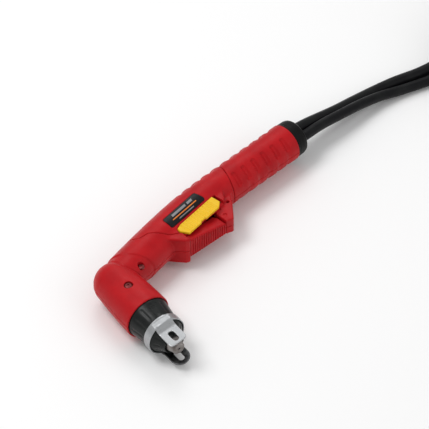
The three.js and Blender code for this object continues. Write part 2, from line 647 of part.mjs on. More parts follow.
// The end collar: a cap over the rear of the grip shells with a rounded rear edge and two cable holes.
const collarLine = new THREE.Vector3(0, HANDLE_RISE, 0);
const collarProfile = [
  [0, GRIP_END + GAP], [15.4, GRIP_END + GAP], [15.2, COLLAR_END - 4.5], [14.6, COLLAR_END - 2],
  [13.2, COLLAR_END - 0.6], [11.4, COLLAR_END], [0, COLLAR_END],
];
const collarPlug = rod(GRIP_R - WALL - 0.5, collarLine, X, CLAMP_END + GAP, GRIP_END + 1, 28);
const collarBody = cut(
  join(turned(collarProfile, collarLine, X, 28), collarPlug),
  rod(POWER_D / 2 + GAP, powerLine, X, 150, 260, 20),
  rod(CONTROL_D / 2 + GAP, controlLine, X, 150, 260, 20),
);
add(torch, 'end_collar', collarBody, BLACK);

// The two switch wires run from the switch's tabs along the bottom of the handle to the control lead.
for (const [name, z] of [['switch_wire_a', 1.6], ['switch_wire_b', -1.6]]) {
  const route = new THREE.CatmullRomCurve3([
    new THREE.Vector3(SWITCH_X + 12.4, 3.3, z),
    new THREE.Vector3(SWITCH_X + 20, 5.4, z * 1.4),
    new THREE.Vector3(120, 7.6, z * 1.6),
    new THREE.Vector3(135, 8.8, z * 1.6),
    new THREE.Vector3(165, CONTROL_Y - 3, z * 1.6),
    new THREE.Vector3(190, CONTROL_Y - 0.6, z * 1.2),
    new THREE.Vector3(202.6, CONTROL_Y, z * 0.8),
  ]);
  add(torch, name, swept(route, 0.8, 10, 6), z > 0 ? ['#d8d4c8', 0.5, 0] : ['#23252a', 0.5, 0]);
}

// ---------------------------------------------------------------------------------------------------------
// Leads: each runs from the clamp along the surface to its coil, and ends on top of the coil in a connector
// ---------------------------------------------------------------------------------------------------------

const POWER_Z = FLOOR + POWER_D / 2 + 0.2; // how high the leads' middles run on the surface
const CONTROL_Z = FLOOR + CONTROL_D / 2 + 0.2;
const TIE_THICK = 1;

const powerRoute = [
  [197.9, POWER_Y, 0], [212, POWER_Y, 0], [226, POWER_Y, -0.2], [238, POWER_Y - 0.5, -1.4], [251, 21.3, -4],
  [272, 20.3, -8.2], [292, 20.1, -11.8], [313, 18.4, -14.2], [334, 14.4, POWER_Z], [358, 7.2, POWER_Z],
  [377, 5.4, POWER_Z], [397, 12.8, POWER_Z], [416, 21.2, POWER_Z], [438, 25.6, POWER_Z], [470, 26.4, POWER_Z],
  [505, 26.2, POWER_Z], [534, 26.8, POWER_Z + 0.6],
];
const controlRoute = [
  [204.2, CONTROL_Y, 0], [214, CONTROL_Y, 0], [226, CONTROL_Y, 0], [238, CONTROL_Y + 0.1, -0.3],
  [250, 12, -1], [271, 11.4, -4], [291, 11.1, -7.6], [311, 9.3, -11.4], [332, 4.2, CONTROL_Z + 0.8],
  [354.5, -3, CONTROL_Z], [367, -5.2, CONTROL_Z], [378, -5, CONTROL_Z],
];

function leadTube(points, diameter, steps) {
  const curve = new THREE.CatmullRomCurve3(points.map(([x, y, z]) => new THREE.Vector3(x, y, z)));
  return swept(curve, diameter / 2, steps, 8);
}

add(leads, 'power_lead', leadTube(powerRoute, POWER_D, 24), RUBBER);
add(leads, 'control_lead', leadTube(controlRoute, CONTROL_D, 18), RUBBER);

// A coil is wound clockwise, seen from above, in four rows: inwards, outwards, inwards, outwards, with half
// a turn between rows to climb. From its end the tail climbs on top of the coil and turns inwards a little,
// and the connector lies there. The number of turns is such that the connector points where it should.
const COIL_ROWS = 4;
const COIL_PITCH = 1.04; // between turns and between rows, in diameters
const TAIL_SPAN = 79; // degrees round the coil
const TAIL_INWARD = 0.1; // how much nearer the centre the tail ends
const TAIL_LEAN = THREE.MathUtils.radToDeg(
  Math.atan((2 * TAIL_INWARD) / (THREE.MathUtils.degToRad(TAIL_SPAN) * (1 - TAIL_INWARD))),
);

function coilOf({ x, y, inner, diameter, entry, heading, wholeTurns, lift }) {
  const aside = (entry - 90 - TAIL_SPAN - TAIL_LEAN - heading) / 360;
  const winding = wholeTurns + aside;
  const turns = (winding - 0.5 * (COIL_ROWS - 1)) / COIL_ROWS;
  const outer = inner + turns * COIL_PITCH * diameter;
  const base = FLOOR + TIE_THICK + GAP;
  const lastRow = base + (COIL_ROWS - 1) * COIL_PITCH * diameter + diameter / 2;
  const top = lastRow + diameter / 2;
  return {
    centre: new THREE.Vector3(x, y, 0), diameter, heading, outer, base, top, lastRow,
    hole: inner - diameter / 2,
    rim: outer + diameter / 2,
    end: entry - 360 * winding,
    tailHeight: top + lift + GAP,
  };
}

const powerCoil = coilOf({
  x: 575, y: -38, inner: 41.5, diameter: POWER_D, entry: 95, heading: 0, wholeTurns: 11, lift: 11.3,
});
const controlCoil = coilOf({
  x: 436, y: -46, inner: 36, diameter: CONTROL_D, entry: 112, heading: -90, wholeTurns: 12, lift: 9.9,
});

// A point of the tail, from its start at t = 0 to its end at t = 1, and on along its end's direction.
function tailPoint(coil, t) {
  const along = Math.min(t, 1);
  const angle = THREE.MathUtils.degToRad(coil.end - TAIL_SPAN * along);
  const radius = coil.outer * (1 - TAIL_INWARD * along * along);
  const climb = THREE.MathUtils.smoothstep(along, 0, 1);
  const height = THREE.MathUtils.lerp(coil.lastRow, coil.tailHeight, climb);
  const point = new THREE.Vector3(radius * Math.cos(angle), radius * Math.sin(angle), height);
  return point.add(coil.centre).addScaledVector(headingOf(coil), (t - along) * 100);
}

function headingOf(coil) {
  const angle = THREE.MathUtils.degToRad(coil.heading);
  return new THREE.Vector3(Math.cos(angle), Math.sin(angle), 0);
}

// A strap round one side of the coil's ring.
function coilTie(coil, angle) {
  const [inside, outside] = [coil.hole - GAP - 0.4, coil.rim + GAP + 0.3];
  const rectangle = (x0, x1, y0, y1) => shapeOf([[x0, y0], [x1, y0], [x1, y1], [x0, y1]]);
  const frame = rectangle(inside - TIE_THICK, outside + TIE_THICK, FLOOR, coil.top + GAP + TIE_THICK);
  frame.holes.push(rectangle(inside, outside, FLOOR + TIE_THICK, coil.top + GAP));
  const width = 9;
  const strap = new THREE.ExtrudeGeometry(frame, { depth: width, bevelEnabled: false });
  strap.translate(0, 0, -width / 2).rotateX(Math.PI / 2).rotateZ(THREE.MathUtils.degToRad(angle));
  return solid(strap.translate(coil.centre.x, coil.centre.y, 0));
}

const TAIL_FREE = 0.62; // from here on the tail lies clear above the coil
const TAIL_STRAIGHT = 0.16; // its straight end, in the boot

const bundles = [
  { name: 'power', coil: powerCoil, tieAngles: [150, 330] },
  { name: 'control', coil: controlCoil, tieAngles: [150, 290] },
];
for (const { name, coil, tieAngles } of bundles) {
  add(leads, `${name}_coil`, tube(coil.rim, coil.hole, coil.centre, Z, coil.base, coil.top, 36), RUBBER);
  tieAngles.forEach((angle, i) => add(leads, `${name}_tie_${i + 1}`, coilTie(coil, angle), BLACK));
  const points = [];
  for (let i = 0; i <= 6; i += 1) {
    const point = tailPoint(coil, THREE.MathUtils.lerp(TAIL_FREE, 1, i / 6));
    points.push(point.toArray());
  }
  points.push(tailPoint(coil, 1 + TAIL_STRAIGHT).toArray());
  add(leads, `${name}_tail`, leadTube(points, coil.diameter, 9), RUBBER);
}

// The connectors are turned about the tail's end: distances run from the cord's end, forwards.
function connector(coil) {
  const at = tailPoint(coil, 1 + TAIL_STRAIGHT);
  const axis = headingOf(coil);
  return {
    turn: (profile, sides = 16) => turned(profile, at, axis, sides),
    rod: (radius, start, end, sides = 16) => rod(radius, at, axis, start, end, sides),
    hex: (acrossFlats, start, length) => {
      const place = at.clone().addScaledVector(axis, start);
      return stood(polygonPrism(6, acrossFlats, length), place, axis);
    },
    holeAt: (radius, angle, hole, start, end) => {
      const side = axis.clone().cross(Z);
      const place = at.clone().addScaledVector(side, radius * Math.cos(angle));
      return rod(hole, place.addScaledVector(Z, radius * Math.sin(angle)), axis, start, end, 8);
    },
  };
}

const powerEnd = connector(powerCoil);
const POWER_HOLE = POWER_D / 2 + GAP;
add(leads, 'power_boot', powerEnd.turn([
  [POWER_HOLE, -14], [6.8, -14], [8.2, 0], [9, 10], [9, 18], [0, 18], [0, GAP], [POWER_HOLE, GAP],
]), RUBBER);
add(leads, 'power_fitting', powerEnd.turn([
  [0, 18.3], [8, 18.3], [8, 25], [6.4, 25.4], [6.4, 32.6], [7.6, 33], [7.6, 35.5], [5, 39.5], [2.4, 39.5],
  [2.4, 26], [0, 26],
]), BRASS);
const nutBody = powerEnd.hex(19, 27, 18.5);
add(leads, 'power_nut', cut(nutBody, powerEnd.rod(6.8, 20, 40), powerEnd.rod(8.1, 32.7 - GAP, 50)), BRASS);

const controlEnd = connector(controlCoil);
const CONTROL_HOLE = CONTROL_D / 2 + GAP;
add(leads, 'control_boot', controlEnd.turn([
  [CONTROL_HOLE, -14], [5.9, -14], [7, -4], [8.2, 6], [8.2, 16], [0, 16], [0, GAP], [CONTROL_HOLE, GAP],
]), RUBBER);
add(leads, 'control_plug', controlEnd.turn([
  [0, 16.3], [8.6, 16.3], [8.6, 22], [7.4, 22.3], [7.4, 36.5], [6.2, 36.5], [6.2, 34.5], [0, 34.5],
]), NICKEL);
const contacts = Array.from({ length: 5 }, (_, i) => (2 * Math.PI * i) / 5);
add(leads, 'control_insert', cut(
  controlEnd.rod(5.9, 34.8, 37.6),
  ...contacts.map((angle) => controlEnd.holeAt(3.6, angle, 0.8, 36, 40)),
), BLACK);
add(leads, 'control_ring', controlEnd.turn([
  [7.8, 23], [9.4, 23], [9.8, 24], [9.8, 37], [9.4, 38], [7.8, 38],
]), NICKEL);

// ---------------------------------------------------------------------------------------------------------
// The torch's own box is centred on the origin and stands on z = 0; the leads keep their place beside it.
// ---------------------------------------------------------------------------------------------------------

const part = new THREE.Group();
part.add(torch, leads);
const bounds = new THREE.Box3().setFromObject(torch);
const middle = bounds.getCenter(new THREE.Vector3());
part.position.set(-middle.x, -middle.y, -FLOOR);

export default part;
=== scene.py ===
"""A hand torch for plasma cutting with its two leads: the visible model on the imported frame."""

import math

import bpy
import numpy as np
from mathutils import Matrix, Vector


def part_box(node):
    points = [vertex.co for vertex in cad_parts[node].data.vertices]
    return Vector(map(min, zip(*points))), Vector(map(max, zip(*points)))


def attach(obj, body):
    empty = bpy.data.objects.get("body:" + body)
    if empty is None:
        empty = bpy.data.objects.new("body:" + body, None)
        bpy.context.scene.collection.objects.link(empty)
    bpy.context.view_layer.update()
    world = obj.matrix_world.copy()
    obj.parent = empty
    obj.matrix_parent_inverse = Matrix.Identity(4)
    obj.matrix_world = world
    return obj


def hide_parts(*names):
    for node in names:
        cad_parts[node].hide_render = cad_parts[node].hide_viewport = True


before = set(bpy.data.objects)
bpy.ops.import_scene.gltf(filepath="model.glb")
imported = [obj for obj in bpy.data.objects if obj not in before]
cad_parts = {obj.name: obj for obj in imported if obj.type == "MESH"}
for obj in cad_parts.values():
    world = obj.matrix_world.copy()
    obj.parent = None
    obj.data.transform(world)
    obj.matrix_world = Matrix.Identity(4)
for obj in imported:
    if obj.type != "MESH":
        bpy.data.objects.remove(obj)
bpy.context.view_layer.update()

# Sizes are in millimetres, in the torch's own frame: +X runs back along the handle, the nozzle points towards
# -Y, and z = 0 is the symmetry plane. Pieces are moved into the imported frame, in metres, when they are made.
MM = 0.001
GAP = 0.3
WALL, JACKET_WALL, MOUTH_WALL = 2.2, 1.8, 1.2

HEAD_R = 20
DOME_R = 17.6
NECK_R = 16.9
GRIP_R = 15.9
HANDLE_RISE = 17.6
HANDLE_RUN = 150
NECK_END = 95
GRIP_END = 211
COLLAR_END = 223
FLOOR = -HEAD_R
MOUTH = 45
RING_TOP = 63
RING_END = 70.4
NOZZLE_FACE = 87.6
LEG_END = 92.8

HEAD_ANGLE = math.radians(-99.6)
HEAD = np.array([math.cos(HEAD_ANGLE), math.sin(HEAD_ANGLE), 0.0])
SIDE = np.array([-HEAD[1], HEAD[0], 0.0])  # across the head's axis, in the symmetry plane
UP = np.array([0.0, 0.0, 1.0])
ELBOW = np.array([1.5, 0.3, 0.0])
SPACER_TURN = math.radians(12)

POWER_D = 10
CONTROL_D = 8.5
POWER_Y = HANDLE_RISE + 4.7
CONTROL_Y = HANDLE_RISE - 5.4

collar_low, collar_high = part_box("end_collar")
SHIFT = np.array([
    collar_high.x / MM - COLLAR_END,
    (collar_low.y + collar_high.y) / 2 / MM - HANDLE_RISE,
    -FLOOR,
])


def placed(points):
    """Points of the torch's frame, in millimetres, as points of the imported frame, in metres."""
    return (np.asarray(points, float) + SHIFT) * MM


def add_object(name, data):
    made = bpy.data.objects.new(name, data)
    bpy.context.scene.collection.objects.link(made)
    return made


# ------------------------------------------------------------
# Camera, light and floor

def look_from(obj, target, azimuth, elevation, distance):
    """Puts an object in that direction from the target, looking at it."""
    a, e = math.radians(azimuth), math.radians(elevation)
    back = Vector((math.sin(a) * math.cos(e), -math.cos(a) * math.cos(e), math.sin(e)))
    obj.location = Vector(placed(target)) + back * distance
    obj.rotation_mode = "QUATERNION"
    obj.rotation_quaternion = (-back).to_track_quat("-Z", "Y")


def make_camera():
    """A long lens from above the torch's front left, at 45 degrees."""
    data = bpy.data.cameras.new("camera")
    camera = add_object("camera", data)
    distance, frame_width, frame_middle = 6.0, 0.343, (112, 0, 0)
    data.sensor_width = 36
    data.lens = data.sensor_width * distance / frame_width
    data.clip_start, data.clip_end = 0.1, 50
    look_from(camera, frame_middle, -45, 45, distance)
    bpy.context.scene.camera = camera


def make_light(name, azimuth, elevation, distance, size, power):
    """A round area light aimed at the middle of the torch."""
    data = bpy.data.lights.new(name, "AREA")
    data.shape = "DISK"
    data.size = size
    data.energy = power
    look_from(add_object(name, data), (90, 0, 0), azimuth, elevation, distance)


def make_world():
    """An evenly lit white studio, shown with plain colours."""
    world = bpy.data.worlds.new("studio")
    bpy.context.scene.world = world
    world.use_nodes = True
    background = world.node_tree.nodes["Background"]
    background.inputs["Color"].default_value = (1, 1, 1, 1)
    background.inputs["Strength"].default_value = 0.6
    bpy.context.scene.view_settings.view_transform = "Standard"


def make_floor():
    """A matt white floor just under the torch."""
    half, drop = 12, 0.0005
    mesh = bpy.data.meshes.new("floor")
    corners = [(-half, -half, 0), (half, -half, 0), (half, half, 0), (-half, half, 0)]
    mesh.from_pydata(corners, [], [(0, 1, 2, 3)])
    floor = add_object("floor", mesh)
    material = bpy.data.materials.new("floor")
    material.use_nodes = True
    shader = material.node_tree.nodes["Principled BSDF"]
    shader.inputs["Base Color"].default_value = (0.95, 0.95, 0.95, 1)
    shader.inputs["Roughness"].default_value = 0.9
    mesh.materials.append(material)
    floor.location.z = -drop


make_camera()
make_world()
make_floor()
make_light("key", -130, 62, 1.6, 0.7, 9)
make_light("fill", 20, 35, 1.8, 1.2, 3)
make_light("back", 140, 50, 1.8, 0.9, 5)


# ------------------------------------------------------------
# Materials: each is a principled shader with procedural colour, roughness and bump

class Surface:
    """A material's node tree, with short ways to add what most finishes share."""

    def __init__(self, name, roughness, metallic=0.0, **constants):
        self.material = bpy.data.materials.new(name)
        self.material.use_nodes = True
        self.nodes = self.material.node_tree.nodes
        self.links = self.material.node_tree.links
        self.shader = self.nodes["Principled BSDF"]
        self.shader.inputs["Roughness"].default_value = roughness
        self.shader.inputs["Metallic"].default_value = metallic
        for socket, value in constants.items():
            self.shader.inputs[socket.replace("_", " ")].default_value = value
        self.place = self.nodes.new("ShaderNodeTexCoord").outputs["Object"]
        self.normal = None

    def scaled(self, scale):
        """The place on the object, stretched along its axes."""
        mapping = self.nodes.new("ShaderNodeMapping")
        mapping.inputs["Scale"].default_value = scale
        self.links.new(self.place, mapping.inputs["Vector"])
        return mapping.outputs["Vector"]

    def noise(self, scale, detail, stretch=None):
        """Noise whose grain is about 1 / scale metres."""
        node = self.nodes.new("ShaderNodeTexNoise")
        node.inputs["Scale"].default_value = scale
        node.inputs["Detail"].default_value = detail
        node.inputs["Roughness"].default_value = 0.55
        self.links.new(self.scaled(stretch) if stretch else self.place, node.inputs["Vector"])
        return node.outputs["Fac"]

    def ramp(self, value, low, high, start, end):
        """Maps value from low..high to start..end."""
        node = self.nodes.new("ShaderNodeMapRange")
        for socket, number in zip(("From Min", "From Max", "To Min", "To Max"), (low, high, start, end)):
            node.inputs[socket].default_value = number
        self.links.new(value, node.inputs["Value"])
        return node.outputs["Result"]

    def edges(self):
        """1 on convex edges and 0 elsewhere."""
        pointiness = self.nodes.new("ShaderNodeNewGeometry").outputs["Pointiness"]
        return self.ramp(pointiness, 0.52, 0.6, 0, 1)

    def times(self, a, b):
        """One output times another one or a number."""
        node = self.nodes.new("ShaderNodeMath")
        node.operation = "MULTIPLY"
        for socket, value in zip(node.inputs, (a, b)):
            if isinstance(value, float):
                socket.default_value = value
            else:
                self.links.new(value, socket)
        return node.outputs["Value"]

    def mix(self, factor, a, b):
        """Colour a where factor is 0 and b where it is 1. Each is a triple or an output."""
        node = self.nodes.new("ShaderNodeMix")
        node.data_type = "RGBA"
        self.links.new(factor, node.inputs["Factor"])
        for socket, value in (("A", a), ("B", b)):
            target = [i for i in node.inputs if i.name == socket and i.type == "RGBA"][0]
            if isinstance(value, tuple):
                target.default_value = (*value, 1)
            else:
                self.links.new(value, target)
        return [o for o in node.outputs if o.type == "RGBA"][0]

    def colour(self, output):
        self.links.new(output, self.shader.inputs["Base Color"])

    def rough(self, output):
        self.links.new(output, self.shader.inputs["Roughness"])

    def bump(self, height, strength, distance):
        """Adds fine relief, up to distance metres high, on top of the bumps before it."""
        node = self.nodes.new("ShaderNodeBump")
        node.inputs["Strength"].default_value = strength
        node.inputs["Distance"].default_value = distance
        self.links.new(height, node.inputs["Height"])
        if self.normal is not None:
            self.links.new(self.normal, node.inputs["Normal"])
        self.normal = node.outputs["Normal"]
        self.links.new(self.normal, self.shader.inputs["Normal"])


def moulded(name, body, light, worn, roughness, grain=0.35, level=0.2):
    """Moulded plastic: cloudy colour, fine spark-eroded grain, and edges rubbed lighter."""
    s = Surface(name, roughness, Specular_IOR_Level=level)
    clouds = s.mix(s.ramp(s.noise(55, 3), 0.35, 0.65, 0, 1), body, light)
    rub = s.times(s.edges(), s.ramp(s.noise(240, 5), 0.42, 0.62, 0, 0.5))
    s.colour(s.mix(rub, clouds, worn))
    s.rough(s.ramp(s.noise(170, 5), 0.3, 0.7, roughness - 0.06, roughness + 0.1))
    s.bump(s.noise(2600, 2), grain, 0.00012)
    s.bump(s.noise(90, 2), 0.12, 0.0006)
    return s.material


def metal(name, body, dark, roughness, brushed=(1, 1, 1)):
    """Machined or plated metal: fine marks, cloudy darker stains and brighter edges."""
    s = Surface(name, roughness, metallic=1.0)
    stain = s.ramp(s.noise(120, 5), 0.38, 0.68, 0, 1)
    shade = s.mix(stain, body, dark)
    bright = tuple(min(1.0, c * 1.25) for c in body)
    s.colour(s.mix(s.times(s.edges(), 0.6), shade, bright))
    marks = s.noise(700, 4, stretch=brushed)
    s.rough(s.ramp(marks, 0.3, 0.7, roughness - 0.08, roughness + 0.14))
    s.bump(marks, 0.25, 0.00008)
    return s.material


def steel_with_painted_shade(name, body, soot_and_shade):
    """Satin steel with soot spots. Its lower leg is darkened all over with painted shade."""
    s = Surface(name, 0.34, metallic=1.0)
    axes = s.nodes.new("ShaderNodeSeparateXYZ")
    s.links.new(s.place, axes.inputs["Vector"])
    fade_down, fade_out = (0.014, 0.009), (-0.036, -0.044)  # metres, from unshaded to full painted shade
    below = s.ramp(axes.outputs["Z"], *fade_down, 0, 1)
    towards_leg_end = s.ramp(axes.outputs["Y"], *fade_out, 0, 1)
    painted_shade_on_leg = s.times(below, towards_leg_end)
    shade_patches = s.ramp(s.noise(420, 5), 0.25, 0.7, 0.75, 1)
    specks = s.ramp(s.noise(900, 4), 0.58, 0.7, 0, 0.55)
    spots = s.times(specks, s.ramp(s.noise(130, 3), 0.4, 0.6, 0, 1))
    rubbed = s.mix(s.times(s.edges(), 0.5), body, (0.8, 0.8, 0.8))
    spotted = s.mix(spots, rubbed, soot_and_shade)
    # Painted shade: the lower leg is mixed towards the soot colour, in patches.
    s.colour(s.mix(s.times(painted_shade_on_leg, shade_patches), spotted, soot_and_shade))
    marks = s.noise(900, 4, stretch=(1, 4, 1))
    s.rough(s.ramp(marks, 0.3, 0.7, 0.28, 0.46))
    s.bump(marks, 0.25, 0.00008)
    return s.material


def rubber(name, body, light, roughness):
    """Matt rubber: dusty patches and a fine skin."""
    s = Surface(name, roughness, Specular_IOR_Level=0.14, Sheen_Weight=0.03)
    s.colour(s.mix(s.ramp(s.noise(70, 6), 0.42, 0.72, 0, 1), body, light))
    s.rough(s.ramp(s.noise(300, 4), 0.3, 0.7, roughness - 0.08, roughness + 0.1))
    s.bump(s.noise(1900, 3), 0.3, 0.0001)
    s.bump(s.noise(140, 2), 0.15, 0.0005)
    return s.material


MATERIALS = {
    "red": moulded(
        "red_plastic", (0.40, 0.005, 0.009), (0.48, 0.008, 0.012), (0.62, 0.05, 0.045), 0.38, level=0.14,
    ),
    "black": moulded(
        "black_plastic", (0.003, 0.003, 0.003), (0.006, 0.006, 0.006), (0.03, 0.03, 0.03), 0.42, level=0.12,
    ),
    "cup": moulded("cup_plastic", (0.006, 0.007, 0.007), (0.013, 0.015, 0.014), (0.05, 0.05, 0.05), 0.3),
    "yellow": moulded("yellow_plastic", (0.80, 0.48, 0.012), (0.86, 0.54, 0.02), (0.93, 0.74, 0.25), 0.42),
    "white": moulded("white_plastic", (0.66, 0.65, 0.60), (0.74, 0.73, 0.69), (0.85, 0.84, 0.8), 0.45),
    "phenolic": moulded("brown_phenolic", (0.10, 0.035, 0.02), (0.14, 0.05, 0.03), (0.25, 0.12, 0.08), 0.55),
    "label": moulded("label_black", (0.004, 0.004, 0.005), (0.008, 0.008, 0.009), (0.03, 0.03, 0.03), 0.3),
    "orange": moulded("label_orange", (0.70, 0.16, 0.02), (0.78, 0.22, 0.03), (0.8, 0.3, 0.1), 0.4, 0.1),
    "grey": moulded("label_grey", (0.20, 0.20, 0.21), (0.26, 0.26, 0.27), (0.4, 0.4, 0.4), 0.4, 0.1),
    "steel": metal("brushed_steel", (0.66, 0.67, 0.68), (0.48, 0.49, 0.50), 0.3, brushed=(1, 5, 1)),
    # The spacer's lower leg carries painted shade in the soot colour.
    "spacer": steel_with_painted_shade("spacer_steel", (0.41, 0.42, 0.43), (0.05, 0.05, 0.052)),
    "plated": metal("dull_nickel", (0.56, 0.56, 0.55), (0.40, 0.39, 0.38), 0.34),
    "brass": metal("machined_brass", (0.72, 0.50, 0.20), (0.50, 0.33, 0.13), 0.3),
    "tip": metal("sooty_tip", (0.34, 0.32, 0.31), (0.16, 0.14, 0.13), 0.36),
    # The screws' dark red colour is partly painted shade of the recesses they sit in.
    "screw": metal("recessed_screw", (0.26, 0.06, 0.06), (0.12, 0.03, 0.03), 0.36),
    "copper": metal("plain_copper", (0.72, 0.36, 0.22), (0.48, 0.22, 0.14), 0.32),
    "rubber": rubber("lead_rubber", (0.003, 0.003, 0.004), (0.008, 0.009, 0.009), 0.42),
}


# ------------------------------------------------------------
# Making pieces

def add_piece(name, points, faces, material, body, slot, stands_for, sharp=40):
    """A mesh from points of the torch's frame and faces. It rides on a body and replaces CAD nodes."""
    mesh = bpy.data.meshes.new(name)
    mesh.from_pydata(placed(points).tolist(), [], [tuple(face) for face in faces])
    mesh.polygons.foreach_set("use_smooth", [True] * len(mesh.polygons))
    mesh.set_sharp_from_angle(angle=math.radians(sharp))
    mesh.materials.append(MATERIALS[material])
    declare(add_object(name, mesh), body, slot, stands_for)


def declare(piece, body, slot, stands_for):
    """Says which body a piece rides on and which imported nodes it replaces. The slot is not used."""
    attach(piece, body)
    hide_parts(*stands_for)


def joined(*meshes):
    """Several (points, faces) as one."""
    points, faces = [], []
    for more_points, more_faces in meshes:
        faces += [[i + len(points) for i in face] for face in more_faces]
        points += list(more_points)
    return points, faces


ON_AXIS = 1e-6
POINTS_PER_CORNER = 4


def rounded(profile, radius):
    """A profile with each corner that is off the axis turned into a short curve."""
    points = [np.array(p, float) for p in profile]
    made = []
    for i, corner in enumerate(points):
        before, after = points[i - 1], points[(i + 1) % len(points)]
        if corner[0] < ON_AXIS:
            made.append(corner)
            continue
        to_before, to_after = before - corner, after - corner
        room = min(radius, 0.45 * np.linalg.norm(to_before), 0.45 * np.linalg.norm(to_after))
        start = corner + to_before / np.linalg.norm(to_before) * room
        stop = corner + to_after / np.linalg.norm(to_after) * room
        for t in np.linspace(0, 1, POINTS_PER_CORNER):
            made.append((1 - t) ** 2 * start + 2 * t * (1 - t) * corner + t ** 2 * stop)
    return made


def turned(profile, origin, axis, sides, edge, relief=None):
    """A closed profile of (radius, distance) turned about a level axis, with rounded corners.

    A profile that starts and ends on the axis makes a solid, and any other one makes a ring. What
    relief(distance, angle, radius) gives is added to the radius."""
    other = np.cross(axis, UP)
    on_axis = profile[0][0] < ON_AXIS
    points, rows = [], []
    for radius, s in rounded(profile, edge):
        if radius < ON_AXIS:
            rows.append([len(points)])
            points.append(origin + axis * s)
            continue
        rows.append(list(range(len(points), len(points) + sides)))
        for angle in np.arange(sides) * 2 * math.pi / sides:
            r = radius + (relief(s, angle, radius) if relief else 0)
            points.append(origin + axis * s + r * (math.cos(angle) * UP + math.sin(angle) * other))
    faces = []
    pairs = zip(rows[:-1], rows[1:]) if on_axis else zip(rows, rows[1:] + rows[:1])
    for low, high in pairs:
        for i in range(sides):
            ends = (low, i), (low, i + 1), (high, i + 1), (high, i)
            corners = list(dict.fromkeys(row[k % len(row)] for row, k in ends))
            if len(corners) > 2:
                faces.append(corners)
    return outward(np.array(points), faces)


def outward(points, faces):
    """The same mesh with its faces pointing out."""
    volume = 0.0
    for face in faces:
        a = points[face[0]]
        for i in range(1, len(face) - 1):
            volume += np.dot(a, np.cross(points[face[i]], points[face[i + 1]]))
    return (points, faces) if volume > 0 else (points, [face[::-1] for face in faces])


def swept(path, section, closed=False, normal=UP):
    """A flat section of (sideways, upwards) points carried along a path."""
    points, count = [], len(section)
    for i, at in enumerate(path):
        before = path[i - 1] if i or closed else path[0]
        after = path[(i + 1) % len(path)] if i < len(path) - 1 or closed else path[-1]
        along = (after - before) / np.linalg.norm(after - before)
        side = np.cross(along, normal)
        side /= np.linalg.norm(side)
        up = np.cross(side, along)
        points += [at + a * side + b * up for a, b in section]
    faces = []
    for i in range(len(path) if closed else len(path) - 1):
        low, high = i * count, (i + 1) % len(path) * count
        for j in range(count):
            k = (j + 1) % count
            faces.append((low + j, low + k, high + k, high + j))
    if not closed:
        faces.append(tuple(reversed(range(count))))
        faces.append(tuple(range(len(points) - count, len(points))))
    return outward(np.array(points), faces)


# ------------------------------------------------------------
# Cords: each is one line from the collar along the surface, round its coil and into its boot

LEAD_LIFT = 0.2  # over the surface
POWER_Z = FLOOR + POWER_D / 2 + LEAD_LIFT
CONTROL_Z = FLOOR + CONTROL_D / 2 + LEAD_LIFT
TIE_THICK = 1

POWER_ROUTE = [
    (197.9, POWER_Y, 0), (212, POWER_Y, 0), (226, POWER_Y, -0.2), (238, POWER_Y - 0.5, -1.4), (251, 21.3, -4),
    (272, 20.3, -8.2), (292, 20.1, -11.8), (313, 18.4, -14.2), (334, 14.4, POWER_Z), (358, 7.2, POWER_Z),
    (377, 5.4, POWER_Z), (397, 12.8, POWER_Z), (416, 21.2, POWER_Z), (438, 25.6, POWER_Z),
    (470, 26.4, POWER_Z), (505, 26.2, POWER_Z), (534, 26.8, POWER_Z + 0.6),
]
CONTROL_ROUTE = [
    (204.2, CONTROL_Y, 0), (214, CONTROL_Y, 0), (226, CONTROL_Y, 0), (238, CONTROL_Y + 0.1, -0.3),
    (250, 12, -1), (271, 11.4, -4), (291, 11.1, -7.6), (311, 9.3, -11.4), (332, 4.2, CONTROL_Z + 0.8),
    (354.5, -3, CONTROL_Z), (367, -5.2, CONTROL_Z), (378, -5, CONTROL_Z),
]

COIL_ROWS = 4
COIL_PITCH = 1.04  # of the lead's diameter
STEP_UP = 0.5  # of a turn, for the climb from one row to the next
TAIL_SPAN = 79  # degrees of the coil that the tail passes over
TAIL_INWARD = 0.1
TAIL_LEAN = math.degrees(math.atan(2 * TAIL_INWARD / (math.radians(TAIL_SPAN) * (1 - TAIL_INWARD))))
TAIL_STRAIGHT = 16
POINTS_PER_TURN = 30


def smoothstep(t):
    t = np.clip(t, 0, 1)
    return t * t * (3 - 2 * t)


